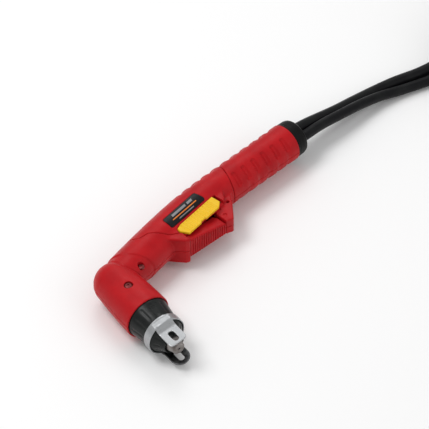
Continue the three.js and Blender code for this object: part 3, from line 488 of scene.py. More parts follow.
class Coil:
    """A lead's coil, wound clockwise from its entry in four rows: in, out, in, out. The tail lies on top.

    entry and heading are angles in degrees: where the lead comes in, and which way its far end points."""

    def __init__(self, x, y, inner, diameter, entry, heading, whole_turns, lift):
        self.centre = np.array([x, y, 0.0])
        self.inner, self.diameter, self.entry = inner, diameter, entry
        self.winding = whole_turns + (entry - 90 - TAIL_SPAN - TAIL_LEAN - heading) / 360
        self.turns = (self.winding - STEP_UP * (COIL_ROWS - 1)) / COIL_ROWS
        self.pitch = COIL_PITCH * diameter
        self.outer = inner + self.turns * self.pitch
        self.base = FLOOR + TIE_THICK + GAP
        self.last_row = self.base + (COIL_ROWS - 1) * self.pitch + diameter / 2
        self.top = self.last_row + diameter / 2
        self.tail_height = self.top + lift + GAP
        self.axis = np.array([math.cos(math.radians(heading)), math.sin(math.radians(heading)), 0.0])

    def at(self, angle, radius, height):
        a = math.radians(angle)
        return self.centre + np.array([radius * math.cos(a), radius * math.sin(a), height])

    def wound(self, turned_by):
        """The point after that many turns from the entry."""
        row, within = 0, turned_by
        while row < COIL_ROWS - 1 and within > self.turns + STEP_UP:
            row, within = row + 1, within - self.turns - STEP_UP
        part = min(within / self.turns, 1)
        inward = part if row % 2 == 0 else 1 - part
        climb = smoothstep((within - self.turns) / STEP_UP) if row < COIL_ROWS - 1 else 0
        height = self.base + self.diameter / 2 + (row + climb) * self.pitch
        return self.at(self.entry - 360 * turned_by, self.outer - inward * (self.outer - self.inner), height)

    def tail(self, t):
        """The tail's point from its start at t = 0 to its end at t = 1."""
        height = self.last_row + (self.tail_height - self.last_row) * smoothstep(t)
        radius = self.outer * (1 - TAIL_INWARD * t * t)
        return self.at(self.entry - 360 * self.winding - TAIL_SPAN * t, radius, height)

    def end(self):
        return self.tail(1) + self.axis * TAIL_STRAIGHT

    def points(self):
        count = int(self.winding * POINTS_PER_TURN)
        wound = [self.wound(self.winding * i / count) for i in range(count)]
        tail = [self.tail(t) for t in np.linspace(0, 1, 9)]
        return wound + tail + [self.tail(1) + self.axis * TAIL_STRAIGHT / 2, self.end()]


POWER_COIL = Coil(
    x=575, y=-38, inner=41.5, diameter=POWER_D, entry=95, heading=0, whole_turns=11, lift=11.3,
)
CONTROL_COIL = Coil(
    x=436, y=-46, inner=36, diameter=CONTROL_D, entry=112, heading=-90, whole_turns=12, lift=9.9,
)


def catmull_rom(points, steps):
    """A smooth line through the points, with that many steps from each to the next."""
    p = [2 * np.array(points[0]) - np.array(points[1]), *map(np.array, points)]
    p.append(2 * p[-1] - p[-2])
    line = []
    for a, b, c, d in zip(p, p[1:], p[2:], p[3:]):
        for t in np.arange(steps) / steps:
            bend, twist = 2 * a - 5 * b + 4 * c - d, 3 * b - a - 3 * c + d
            line.append(0.5 * (2 * b + (c - a) * t + bend * t ** 2 + twist * t ** 3))
    return line + [p[-2]]


def add_cord(name, route, coil, stands_for):
    """A lead as one open curve, and its declaration."""
    line = placed(catmull_rom(route, 6)[:-1] + catmull_rom([route[-1]] + coil.points(), 2))
    curve = bpy.data.curves.new(name, "CURVE")
    curve.dimensions = "3D"
    curve.bevel_depth = coil.diameter / 2 * MM
    curve.bevel_resolution = 4
    curve.use_fill_caps = True
    spline = curve.splines.new("POLY")
    spline.points.add(len(line) - 1)
    spline.points.foreach_set("co", np.hstack([line, np.ones((len(line), 1))]).ravel())
    spline.use_smooth = True
    curve.materials.append(MATERIALS["rubber"])
    lead = add_object(name, curve)
    declare(lead, "handle", "rubber", stands_for)
    tuple(placed([COLLAR_END, route[1][1], 0]))


def add_tie(name, coil, angle):
    """A cable tie round one side of the coil: a rounded strap with its locking head on top."""
    inside = coil.inner - coil.diameter / 2 - GAP - 0.9
    outside = coil.outer + coil.diameter / 2 + GAP + 0.8
    low, high = FLOOR + TIE_THICK / 2, coil.top + GAP + TIE_THICK / 2
    corner, loop = 4.0, []
    for x, z, start in ((outside - corner, low + corner, -90), (outside - corner, high - corner, 0),
                        (inside + corner, high - corner, 90), (inside + corner, low + corner, 180)):
        for a in np.radians(np.linspace(start, start + 90, 7)):
            loop.append((x + corner * math.cos(a), z + corner * math.sin(a)))
    a = math.radians(angle)
    out, along = np.array([math.cos(a), math.sin(a), 0]), np.array([-math.sin(a), math.cos(a), 0])
    path = [coil.centre + x * out + z * UP for x, z in loop]
    half, bevel, thick = 3.6, 0.5, TIE_THICK / 2
    flank = 0.6 * thick
    section = [(-flank, -half), (flank, -half), (thick, bevel - half), (thick, half - bevel),
               (flank, half), (-flank, half), (-thick, half - bevel), (-thick, bevel - half)]
    strap = swept(path, section, closed=True, normal=along)
    head_at = coil.centre + (inside + outside) / 2 * out + (high + 0.9) * UP
    head = swept([head_at + reach * out for reach in (-3.4, -3, 3, 3.4)],
                 [(-4.6, -1.2), (-4.6, 1), (-4, 1.6), (4, 1.6), (4.6, 1), (4.6, -1.2)])
    add_piece(f"{name}_strap", *joined(strap, head), "black", "handle", "black_plastic", [name], 30)


def add_leads():
    """Both leads, each as one curve; their ties and far ends are made by add_ends."""
    add_cord("power_cable", POWER_ROUTE, POWER_COIL, ["power_lead", "power_coil", "power_tail"])
    add_cord("control_cable", CONTROL_ROUTE, CONTROL_COIL, ["control_lead", "control_coil", "control_tail"])


# ------------------------------------------------------------
# Moulded pieces: each is a field, negative inside, whose zero surface is meshed. In a field, x, y and z are
# arrays of coordinates in millimetres.

def smooth_max(a, b, blend):
    overlap = np.maximum(blend - np.abs(a - b), 0) / blend
    return np.maximum(a, b) + overlap * overlap * blend / 4


def smooth_min(a, b, blend):
    return -smooth_max(-a, -b, blend)


def carved(field, hollow, edge):
    """The field with a hollow taken out of it, its edges slightly rounded."""
    return smooth_max(field, -hollow, edge)


def polygon(x, y, points):
    """Distance to a flat polygon's outline, negative inside it."""
    shape = np.broadcast(x, y).shape
    distance, inside = np.full(shape, np.inf), np.zeros(shape, bool)
    for (x0, y0), (x1, y1) in zip(points, [*points[1:], points[0]]):
        dx, dy = x1 - x0, y1 - y0
        t = np.clip(((x - x0) * dx + (y - y0) * dy) / (dx * dx + dy * dy), 0, 1)
        distance = np.minimum(distance, np.hypot(x - x0 - t * dx, y - y0 - t * dy))
        if dy:
            inside ^= ((y0 > y) != (y1 > y)) & (x < x0 + (y - y0) * dx / dy)
    return np.where(inside, -distance, distance)


def slab(flat, height, low, high, edge):
    """A flat outline's field made into a plate between two heights, with rounded edges."""
    flat = flat + edge
    across = np.abs(height - (low + high) / 2) - (high - low) / 2 + edge
    outside = np.hypot(np.maximum(flat, 0), np.maximum(across, 0))
    return np.minimum(np.maximum(flat, across), 0) + outside - edge


def rectangle(x, y, half_x, half_y, corner):
    """A rectangle with round corners, as a flat outline's field."""
    dx, dy = np.abs(x) - half_x + corner, np.abs(y) - half_y + corner
    return np.minimum(np.maximum(dx, dy), 0) + np.hypot(np.maximum(dx, 0), np.maximum(dy, 0)) - corner


GRID_OFFSET = 0.23  # of a cell


def isosurface(field, low, high, cell):
    """The surface field = 0 inside a box, as quads with one point in each cell that the surface crosses.

    The grid starts a part of a cell off the box, so that flat faces don't fall in a plane of its points."""
    low = np.array(low, float) - GRID_OFFSET * cell
    counts = np.ceil((np.array(high, float) - low) / cell).astype(int) + 1
    lines = [low[i] + cell * np.arange(counts[i]) for i in range(3)]
    values = np.broadcast_to(field(*np.meshgrid(*lines, indexing="ij", sparse=True)), counts)
    total, number = np.zeros((*(counts - 1), 3)), np.zeros(counts - 1)
    crossings = []
    for axis in range(3):
        first, second = [other for other in range(3) if other != axis]
        start, stop = np.moveaxis(values, axis, 0)[:-1], np.moveaxis(values, axis, 0)[1:]
        crossed = (start < 0) != (stop < 0)
        part = np.where(crossed, start / np.where(crossed, start - stop, 1), 0)
        crossings.append((crossed, start < 0))
        sums, hits = np.moveaxis(total, axis, 0), np.moveaxis(number, axis, 0)
        for j in (0, 1):
            for k in (0, 1):
                window = (slice(None), slice(j, counts[first] - 1 + j), slice(k, counts[second] - 1 + k))
                sums[..., axis] += part[window]
                sums[..., first] += j * crossed[window]
                sums[..., second] += k * crossed[window]
                hits += crossed[window]
    used = number > 0
    ids = np.full(number.shape, -1)
    ids[used] = np.arange(used.sum())
    points = low + cell * (np.argwhere(used) + total[used] / number[used][:, None])
    faces = []
    for axis, (crossed, starts_inside) in enumerate(crossings):
        near = np.moveaxis(ids, axis, 0)
        i, j, k = np.nonzero(crossed[:, 1:-1, 1:-1])
        quads = np.stack([near[i, j, k], near[i, j + 1, k], near[i, j + 1, k + 1], near[i, j, k + 1]], axis=1)
        turn = starts_inside[:, 1:-1, 1:-1][i, j, k] == (axis == 1)
        quads[turn] = quads[turn][:, ::-1]
        faces.append(quads)
    return onto_surface(field, points, cell), np.vstack(faces)


def onto_surface(field, points, cell):
    """The points moved along the field's gradient onto its zero surface, by at most 0.7 of a cell."""
    start, step = points.copy(), cell * 0.05
    for _ in range(3):
        value = field(*points.T)
        stepped = [field(*(points + step * np.eye(3)[i]).T) for i in range(3)]
        gradient = (np.stack(stepped, axis=1) - value[:, None]) / step
        size = np.maximum((gradient ** 2).sum(axis=1), 0.25)
        points = points - (value / size)[:, None] * gradient
    away = points - start
    length = np.linalg.norm(away, axis=1, keepdims=True)
    return start + away * np.minimum(1, 0.7 * cell / np.maximum(length, 1e-9))


def add_field_piece(name, field, low, high, cell, *finish):
    """A piece made of the surface field = 0 in a box. finish is what add_piece takes after the faces."""
    add_piece(name, *isosurface(field, low, high, cell), *finish)


def centre_y(x):
    """The handle's centre line. It climbs as a quarter of a sine wave and then runs level."""
    return HANDLE_RISE * np.sin(np.pi * np.minimum(x, HANDLE_RUN) / (2 * HANDLE_RUN))


def centre_slope(x):
    steepest = HANDLE_RISE * np.pi / (2 * HANDLE_RUN)
    return steepest * np.cos(np.pi * np.minimum(x, HANDLE_RUN) / (2 * HANDLE_RUN))


def handle_radius(x):
    """The neck's radius, and then smoothly the grip's."""
    return NECK_R + (GRIP_R - NECK_R) * smoothstep((x - NECK_END) / (HANDLE_RUN - NECK_END))


def across_handle(x, y):
    """Distance from the handle's centre line, in the symmetry plane, positive towards the back."""
    return (y - centre_y(x)) / np.hypot(1, centre_slope(x))


def handle(x, y, z):
    """The neck and the grip, from the elbow back."""
    return np.maximum(np.hypot(across_handle(x, y), z) - handle_radius(x), -x)


def along_head(x, y):
    """Distance from the elbow towards the nozzle."""
    return (x - ELBOW[0]) * HEAD[0] + (y - ELBOW[1]) * HEAD[1]


def from_head(x, y, z):
    """Distance from the head's axis."""
    return np.hypot((x - ELBOW[0]) * SIDE[0] + (y - ELBOW[1]) * SIDE[1], z)


def jacket_radius(s):
    return DOME_R + (HEAD_R - DOME_R) * np.sin(np.pi / 2 * np.clip(s / MOUTH, 0, 1))


def jacket(x, y, z):
    """The head's jacket: it widens towards its mouth, and a dome closes it behind the elbow."""
    s, r = along_head(x, y), from_head(x, y, z)
    return np.where(s < 0, np.hypot(r, s) - DOME_R, r - jacket_radius(s))


# The housing round the trigger, in side view.
FRONT_HORN = [(48, 6), (57.5, -3.2), (66, -13.8), (68.5, -15.2), (70.3, -15.2), (70.3, -8.5), (74, 4)]
BELLY = [(58, 8), (60, -2.5), (69, -8.6), (108.5, -6.6), (122, -1.5), (128, 8)]
REAR_HORN = [(104, 0), (108.4, -9), (108.4, -17.2), (113.8, -19), (115.2, -18.6), (125.3, -7.2), (134, 4.5)]
INSIDE_BELLY = [(62, 6), (64, -1.5), (71, -6), (106, -4.6), (118, 2), (122, 8)]
HOUSING_HALF, BELLY_HALF, REAR_HORN_HALF = 13, 12.6, 7.6


def housing(x, y, z):
    front = slab(polygon(x, y, FRONT_HORN), z, -HOUSING_HALF, HOUSING_HALF, 1.4)
    belly = slab(polygon(x, y, BELLY), z, -BELLY_HALF, BELLY_HALF, 1)
    rear = slab(polygon(x, y, REAR_HORN), z, -REAR_HORN_HALF, REAR_HORN_HALF, 1)
    return smooth_min(front, smooth_min(belly, rear, 0.8), 0.8)


# The catch, in its own axes: u along its slide and v across.
CATCH_TILT = math.radians(6.5)
CATCH_CENTRE = (91.8, -2.6)
CATCH_LONG, CATCH_WIDE = 47, 11.6
CATCH_FLOOR, CATCH_TOP = 11.6, 14.3
CATCH_TRAVEL = 3.2
POCKET_FLOOR = 8.8
STEM_OFF = 3.2


def catch_axes(x, y):
    """Distances from the catch's middle: along its slide, and across."""
    c, s = math.cos(CATCH_TILT), math.sin(CATCH_TILT)
    dx, dy = x - CATCH_CENTRE[0], y - CATCH_CENTRE[1]
    return c * dx + s * dy, c * dy - s * dx


def catch_outline(u, v, travel):
    """The catch's outline, with its rear end moved back by that travel."""
    long, wide = CATCH_LONG / 2, CATCH_WIDE / 2
    rear = long + travel
    return polygon(u, v, [
        (-long + 1, 1.5), (-long + 4.5, -wide), (rear - 5, -wide), (rear, -2.5), (rear, wide),
        (-long + 7, wide), (-long + 2, wide - 1.2),
    ])


LABEL = [(67, 3), (66.4, 13), (106, 17), (108.6, 7.2)]
LABEL_CORNER = 1.6


def label_outline(x, y):
    """The label's outline: its corners are drawn in by the corner radius, and it is grown again."""
    inward = np.sign(np.mean(LABEL, axis=0) - LABEL)
    return polygon(x, y, (LABEL + LABEL_CORNER * inward).tolist()) - LABEL_CORNER


NECK_STEP = 0.8


def skin(x, y, z):
    """The shells' outer surface before the openings are cut. A slanted step lowers the neck at the head."""
    step_down = NECK_STEP * (1 - smoothstep((x + 0.85 * y - 25) / 1.6))
    neck = handle(x, y, z) + step_down
    hood = jacket(x, y, z)
    crease = np.hypot(neck, hood) - 0.45
    body = carved(smooth_min(neck, hood, 0.3), crease, 0.5)
    body = smooth_min(body, housing(x, y, z), 1.6)
    return smooth_max(body, along_head(x, y) - MOUTH, 1.2)


def inside(x, y, z):
    """The space inside the shells, open at the mouth and at the rear end."""
    tube = np.maximum(handle(np.maximum(x, 1), y, z) + WALL, -x - 2)
    head = np.maximum(jacket(x, y, z) + JACKET_WALL, along_head(x, y) - MOUTH - 4)
    mouth = np.maximum(from_head(x, y, z) - HEAD_R + MOUTH_WALL, np.abs(along_head(x, y) - MOUTH) - 9)
    belly = slab(polygon(x, y, INSIDE_BELLY), z, -HOUSING_HALF + 3, HOUSING_HALF - 3, 0.6)
    return np.minimum(np.minimum(tube, belly), np.minimum(head, mouth))


GROOVE_PITCH = 11
FLANK_SLOTS = 144.8 + GROOVE_PITCH * np.arange(6)
BACK_SCALLOPS = 102.5 + GROOVE_PITCH * np.arange(10)
BELLY_SCALLOPS = 155.8 + GROOVE_PITCH * np.arange(5)
SLOT_BELOW = math.radians(41)  # from the flank towards the belly
SLOT_HALF = 4.6
# Each groove is scooped by a round cutter: its radius, and its centre's height over the grip's surface.
SLOT_CUTTER, SCALLOP_CUTTER, BELLY_CUTTER = (2.6, 1.1), (5.3, 4.2), (5.2, 4.6)
FADED = 4  # how far a wave's cutter is drawn off where the wave fades out


def nearest(x, places):
    """Distance along x to the nearest of evenly spaced places."""
    pitch = places[1] - places[0]
    step = np.clip(np.round((x - places[0]) / pitch), 0, len(places) - 1)
    return x - places[0] - step * pitch


def grip_grooves(x, y, z, skin_field):
    """Shallow scooped slots on both flanks, and soft waves round the back and the underside."""
    side = across_handle(x, y)
    radial, radius = np.hypot(side, z), handle_radius(x)
    arc = radius * (np.arctan2(-side, np.abs(z)) - SLOT_BELOW)
    past_end = np.maximum(np.abs(arc) - SLOT_HALF, 0)
    scoop, height = SLOT_CUTTER
    slot = np.sqrt(nearest(x, FLANK_SLOTS) ** 2 + past_end ** 2 + (skin_field - height) ** 2) - scoop
    towards_back = side / np.maximum(radial, 1)
    off_back = FADED * (1 - smoothstep((towards_back - 0.3) / 0.4))
    off_belly = FADED * (1 - smoothstep((-towards_back - 0.45) / 0.3))
    waves = []
    for places, (scoop, height), off in (
        (BACK_SCALLOPS, SCALLOP_CUTTER, off_back),
        (BELLY_SCALLOPS, BELLY_CUTTER, off_belly),
    ):
        waves.append(np.hypot(nearest(x, places), radial - radius - height) - scoop + off)
    return slot, np.minimum(*waves)


# Each screw's head sits on its seat, on the left (1) or the right (-1); heights are from the symmetry plane.
NECK_SCREW_AT = (22.5, -7.5)
SCREWS = [
    {"name": "head_screw", "side": 1, "at": (-4.6, -20.6), "radius": 3.4, "seat": 16.7, "tip": 10.5},
    {"name": "neck_screw", "side": 1, "at": NECK_SCREW_AT, "radius": 2.7, "seat": 9, "tip": -8.5},
    {"name": "rear_screw", "side": -1, "at": (120, 1), "radius": 2.7, "seat": 9, "tip": -8.5},
]
SHANK_R = 1.5
BOSS_R = 4.2
PIVOT = (75.5, -3.5)
PIN_R = 1.25
DIMPLE = (112.6, -11.3)
DENT_FLOOR = 13.1
DENT_LEAN = (0.88, 0.48)  # cosine and sine
TRIGGER_WINDOW = (89.45, -15, 18.55, 15)  # in side view: its middle and its half sizes


def off_axis(x, y, centre):
    """Distance from an axis that runs from side to side through that point of the symmetry plane."""
    return np.hypot(x - centre[0], y - centre[1])


def neck_dent(x, y, z):
    """A shallow dent round the neck screw, long across the handle's lean, with a sloping floor."""
    dx, dy = x - NECK_SCREW_AT[0], y - NECK_SCREW_AT[1]
    c, s = DENT_LEAN
    along, across = c * dx - s * dy, s * dx + c * dy
    outline = np.hypot(np.maximum(np.abs(along - 1.5) - 2.5, 0), across) - 4.4
    return smooth_max(outline, DENT_FLOOR - 0.28 * along + 0.12 * across - z, 1.2)


def openings(x, y, z, skin_field):
    """Everything that is cut out of the shells, as one field.

    In order: the trigger's window, the catch's track with a pocket behind it and a slot for the stem, the
    label's recess, the hinge pin's hole, a dimple in the rear horn on each side, and a seat and a hole for
    each screw."""
    u, v = catch_axes(x, y)
    track = catch_outline(u, v, CATCH_TRAVEL + 0.4) - GAP
    pocket = np.maximum(track, CATCH_LONG / 2 + 0.6 - u)
    middle_x, middle_y, half_x, half_y = TRIGGER_WINDOW
    window = rectangle(x - middle_x, y - middle_y, half_x, half_y, 0.4)
    cuts = [
        slab(window, z, -10.5, 10.5, 0.3),
        np.maximum(track, CATCH_FLOOR - z),
        np.maximum(pocket, POCKET_FLOOR - z),
        np.maximum(rectangle(u, v - STEM_OFF, 8.5, 2.5, 0.4), 4 - z),
        np.maximum(label_outline(x, y) - GAP, -np.maximum(skin_field + 0.7, -z)),
        np.maximum(off_axis(x, y, PIVOT) - PIN_R - 0.2, np.abs(z) - 11.3),
        np.maximum(off_axis(x, y, DIMPLE) - 1.5, 6.6 - np.abs(z)),
    ]
    for screw in SCREWS:
        radial, height = off_axis(x, y, screw["at"]), screw["side"] * z
        cuts.append(np.maximum(radial - screw["radius"] - GAP, screw["seat"] - height))
        cuts.append(np.maximum(radial - SHANK_R - GAP, screw["tip"] - GAP - height))
    return np.minimum.reduce(np.broadcast_arrays(*cuts))


def bosses(x, y, z):
    """Posts round the screws, from shell to shell; the head's is a short one in the jacket."""
    posts = [off_axis(x, y, screw["at"]) - BOSS_R for screw in SCREWS]
    posts[0] = np.maximum(posts[0], 14 - z)
    return np.minimum.reduce(np.broadcast_arrays(*posts))


FRONT_SEAM = [(32, 40), (34, 19), (39, 12), (48, 10.8), (61, 0), (70.6, -5), (70.6, -30)]
REAR_SEAM = [(149.5, 45), (134.6, -5), (134.6, -30)]
FAR = 90  # beyond everything on the handle, up and down
SHELL_CELL = 0.5
HEAD_ROOM_R = 16.7
TUBE_ROOM_R = 5
TUBE_ROOM_ENDS = (4, 166)


def behind(x, y, seam):
    """Distance behind a seam line that runs from top to bottom, negative in front of it."""
    outline = [(FAR * 3, FAR), (seam[0][0], FAR), *seam, (seam[-1][0], -FAR), (FAR * 3, -FAR)]
    return -polygon(x, y, outline)


def empty_space(x, y, z):
    """What is empty in the shells: all of the inside but the bosses, and room for the head and its tube."""
    head_room = np.maximum(from_head(x, y, z) - HEAD_ROOM_R, 4 - along_head(x, y))
    start, stop = TUBE_ROOM_ENDS
    past_end = np.maximum(start - x, x - stop)
    tube_room = np.maximum(np.hypot(y - centre_y(x) - 2, z) - TUBE_ROOM_R, past_end)
    return np.minimum(np.maximum(inside(x, y, z), -bosses(x, y, z)), np.minimum(head_room, tube_room))


def shell_field(front, rear, side):
    """One shell, from its front seam to its rear one, on the left (1) or the right (-1)."""
    def field(x, y, z):
        outer = skin(x, y, z)
        slot, scallops = grip_grooves(x, y, z, outer)
        body = carved(carved(outer, slot, 0.4), scallops, 0.8)
        body = carved(body, neck_dent(x, y, z), 1.0)
        body = carved(body, empty_space(x, y, z), 0.3)
        body = carved(body, openings(x, y, z, outer), 0.5)
        if front:
            body = smooth_max(body, GAP / 2 - behind(x, y, front), 0.9)
        if rear:
            body = smooth_max(body, behind(x, y, rear) + GAP / 2, 0.9)
        body = smooth_max(body, x - GRIP_END, 0.4)
        return smooth_max(body, GAP / 2 - side * z, 0.3)

    return field


def add_shells():
    """The red shells: front, middle and grip, each in a left and a right half."""
    sections = [
        ("front", None, FRONT_SEAM, (-28, -49, 0), (73, 28, 20.5)),
        ("mid", FRONT_SEAM, REAR_SEAM, (31, -20, 0), (152, 35, 18)),
        ("grip", REAR_SEAM, None, (133, 0, 0), (212, 35, 17)),
    ]
    for name, front, rear, low, high in sections:
        for side, half in ((1, "left"), (-1, "right")):
            bottom, top = (low[2] - 1, high[2]) if side > 0 else (-high[2], 1 - low[2])
            corners = (*low[:2], bottom), (*high[:2], top)
            add_field_piece(f"{name}_{half}", shell_field(front, rear, side), *corners, SHELL_CELL,
                            "red", "handle", "red_plastic", [f"{name}_shell_{half}"], 70)


# ------------------------------------------------------------
# Trigger, safety catch and label

TRIGGER = [
    (71.6, -14.2), (71.6, -4.5), (78.5, -4.5), (104.5, -4.5), (107.3, -8), (107.3, -17.6), (106.3, -18.4),
]
TRIGGER_HOLLOW = [(80.5, 0), (80.5, -11), (104.5, -14.5), (104.5, 0)]
TRIGGER_TAPER = ((70.6, 10.2), (108.3, 6))  # its front and rear, and the half width at each
FINGER_FACE = ((71.6, -14.2), (107.3, -18.4))
TRIGGER_RIBS = 15
FIRST_RIB = 0.8  # of the pitch
RIB_GAP, RIB_HEIGHT = 1.1, 0.75


def trigger_field(x, y, z):
    """A tapering shell, ribbed across its finger face, with a barrel for its pin and a pad for the switch."""
    (front, wide), (rear, narrow) = TRIGGER_TAPER
    half = wide + (narrow - wide) * np.clip((x - front) / (rear - front), 0, 1)
    body = smooth_max(polygon(x, y, TRIGGER), np.abs(z) - half, 2.4)
    (x0, y0), (x1, y1) = FINGER_FACE
    length = math.hypot(x1 - x0, y1 - y0)
    along = ((x - x0) * (x1 - x0) + (y - y0) * (y1 - y0)) / length
    depth = ((x - x0) * (y1 - y0) - (y - y0) * (x1 - x0)) / length
    pitch = length / (TRIGGER_RIBS + FIRST_RIB)
    groove = np.abs(nearest(along, pitch * (np.arange(TRIGGER_RIBS) + FIRST_RIB))) - RIB_GAP / 2
    body = carved(body, np.maximum(groove, -(depth + RIB_HEIGHT)), 0.35)
    room = slab(polygon(x, y, TRIGGER_HOLLOW), z, -4.2, 4.2, 0.4)
    pad = np.maximum(rectangle(x - 92, y + 6.25, 3, 1.75, 0.3), np.abs(z) - 4.6)
    body = np.minimum(carved(body, room, 0.3), pad)
    from_pin = off_axis(x, y, PIVOT)
    body = smooth_min(body, np.maximum(from_pin - 3, np.abs(z) - 8.5), 0.8)
    spring_outline = rectangle(x - PIVOT[0] + 0.4, y - PIVOT[1] - 0.1, 4.6, 3.9, 0.3)
    spring_room = np.maximum(spring_outline, np.abs(z) - 3.4)
    return carved(body, np.minimum(spring_room, from_pin - PIN_R - 0.25), 0.3)


CATCH_GROOVES = 11
CATCH_GROOVE_PITCH = 3.4
CATCH_CUTTER = (0.95, 0.25)
NOTCH_R = 1.3


def catch_field(x, y, z):
    """A plate with grooves across it and a notch in its lower edge, on a stem that goes through the slot."""
    u, v = catch_axes(x, y)
    plate = slab(catch_outline(u, v, 0), z, CATCH_FLOOR + GAP, CATCH_TOP, 0.5)
    grooves = CATCH_GROOVE_PITCH * (np.arange(CATCH_GROOVES) - (CATCH_GROOVES - 1) / 2)
    scoop, height = CATCH_CUTTER
    cut = np.hypot(nearest(u, grooves), z - CATCH_TOP - height) - scoop
    cut = np.maximum(cut, np.abs(v) - CATCH_WIDE / 2 + 1.1)
    notch = np.hypot(np.maximum(np.abs(u + 0.5) - 1.8, 0), v + CATCH_WIDE / 2 + 0.1) - NOTCH_R
    plate = carved(carved(plate, cut, 0.4), notch, 0.5)
    stem = np.maximum(rectangle(u + 1.6, v - STEM_OFF, 6.4, 2.1, 0.4), np.abs(z - 10.4) - 2.2)
    return np.minimum(plate, stem)


def label_piece(outline, low, high, edge):
    """A thin piece with that outline on the left side, between two heights over the skin."""
    def field(x, y, z):
        return smooth_max(slab(outline(x, y), skin(x, y, z), low, high, edge), 8 - z, 0.1)

    return field


def label_axes(x, y):
    """Distances from the label's middle: along its long sides, and across."""
    lean = math.atan2(LABEL[2][1] - LABEL[1][1], LABEL[2][0] - LABEL[1][0])
    middle = np.mean(LABEL, axis=0)
    dx, dy = x - middle[0], y - middle[1]
    return math.cos(lean) * dx + math.sin(lean) * dy, math.cos(lean) * dy - math.sin(lean) * dx


def bar(u0, u1, v, width):
    """A slanted bar on the label, as an outline."""
    def outline(x, y):
        u, across = label_axes(x, y)
        return rectangle(u - (u0 + u1) / 2 - 0.35 * (across - v), across - v, (u1 - u0) / 2, width / 2, 0.15)

    return outline


PLATE_HEIGHTS, BAR_HEIGHTS = (-0.4, 0.1), (-0.3, 0.17)  # over the skin
# Each bar's finish, its ends along the label, its place across it and its width.
LABEL_BARS = [
    ("orange", -14.5, 14.5, -1.2, 0.9),
    ("grey", -12, 4.5, 1.9, 2.2),
    ("grey", 6.5, 12.5, 1.9, 2.2),
    ("grey", -9, 9, -3.4, 0.8),
]


def add_trigger_group():
    add_field_piece("finger_trigger", trigger_field, (71, -20, -11), (108.5, -0.2, 11), 0.4,
                    "red", "trigger", "red_plastic", ["trigger"], 70)
    add_field_piece("catch_slide_piece", catch_field, (67, -12.5, 8), (117, 8, 15), 0.3,
                    "yellow", "catch", "yellow_plastic", ["safety_catch"], 60)


def add_label():
    low, high = (64.5, 1.5, 8), (111, 19, 18)
    plate = label_piece(label_outline, *PLATE_HEIGHTS, 0.1)
    add_field_piece("badge", plate, low, high, 0.22, "label", "handle", "black_plastic", ["label_plate"])
    for i, (finish, u0, u1, v, width) in enumerate(LABEL_BARS):
        field = label_piece(bar(u0, u1, v, width), *BAR_HEIGHTS, 0.05)
        add_field_piece(f"badge_bar_{i + 1}", field, low, high, 0.2, finish, "handle", "black_plastic", [])


# ------------------------------------------------------------
# Head: cup, nozzle and spacer

FLUTES = 12
CUP_BORE = 11.1  # nothing of the cup inside this radius is fluted
CUP = [
    (16.3, 39), (18.4, 39), (18.4, 46), (17.3, 52), (15.9, 61), (15.9, 69.6), (14.9, 70.6), (11.9, 74.4),
    (9.6, 79), (9.2, 80.6), (8.5, 80.6), (8.5, 68), (10.9, 66.6), (10.9, 53), (16.3, 53),
]
NOZZLE = [
    (6.6, 58.2), (10.4, 58.2), (10.4, 64.5), (8.1, 66.2), (8.1, 77), (7.1, 81), (5.6, 84.8), (5.3, 87),
    (4.7, NOZZLE_FACE), (0.9, NOZZLE_FACE), (0.9, 83.5), (5.6, 77.5), (6.6, 70),
]


def dense(profile, step):
    """The profile with extra points along its long sides."""
    points = []
    for (x0, y0), (x1, y1) in zip(profile, [*profile[1:], profile[0]]):
        count = max(1, int(math.hypot(x1 - x0, y1 - y0) / step))
        points += [(x0 + (x1 - x0) * i / count, y0 + (y1 - y0) * i / count) for i in range(count)]
    return points


def flutes(s, angle, radius):
    """Shallow finger flutes round the cup's shoulder and its cone, fading out at both ends."""
    if radius < CUP_BORE:
        return 0.0
    wave = max(0.0, math.cos(FLUTES * angle)) ** 3
    shoulder = smoothstep((s - 46.5) / 3) * (1 - smoothstep((s - 58) / 4))
    cone = smoothstep((s - 71) / 1.5) * (1 - smoothstep((s - 76) / 3))
    return -0.4 * wave * shoulder - 0.5 * wave * cone


SPACER_UP = math.cos(SPACER_TURN) * UP + math.sin(SPACER_TURN) * np.cross(HEAD, UP)
SPACER_ACROSS = np.cross(HEAD, SPACER_UP)
BAND_IN, BAND_OUT = 16.2, 17
LEG = [
    (BAND_IN, 65), (BAND_OUT + 0.1, 65), (BAND_OUT + 0.1, RING_END), (13.75, 75.2), (13.75, LEG_END + 1),
    (12.25, LEG_END + 1), (12.25, 74.8), (BAND_IN, RING_END - 0.2),
]
LEG_HALF = 8
LEG_ROOT = 60
SQUARE_END = LEG_END - 1.4
LEG_SLOT = (80.6, 86.6, 2.6)  # its ends' centres along the head, and its half width


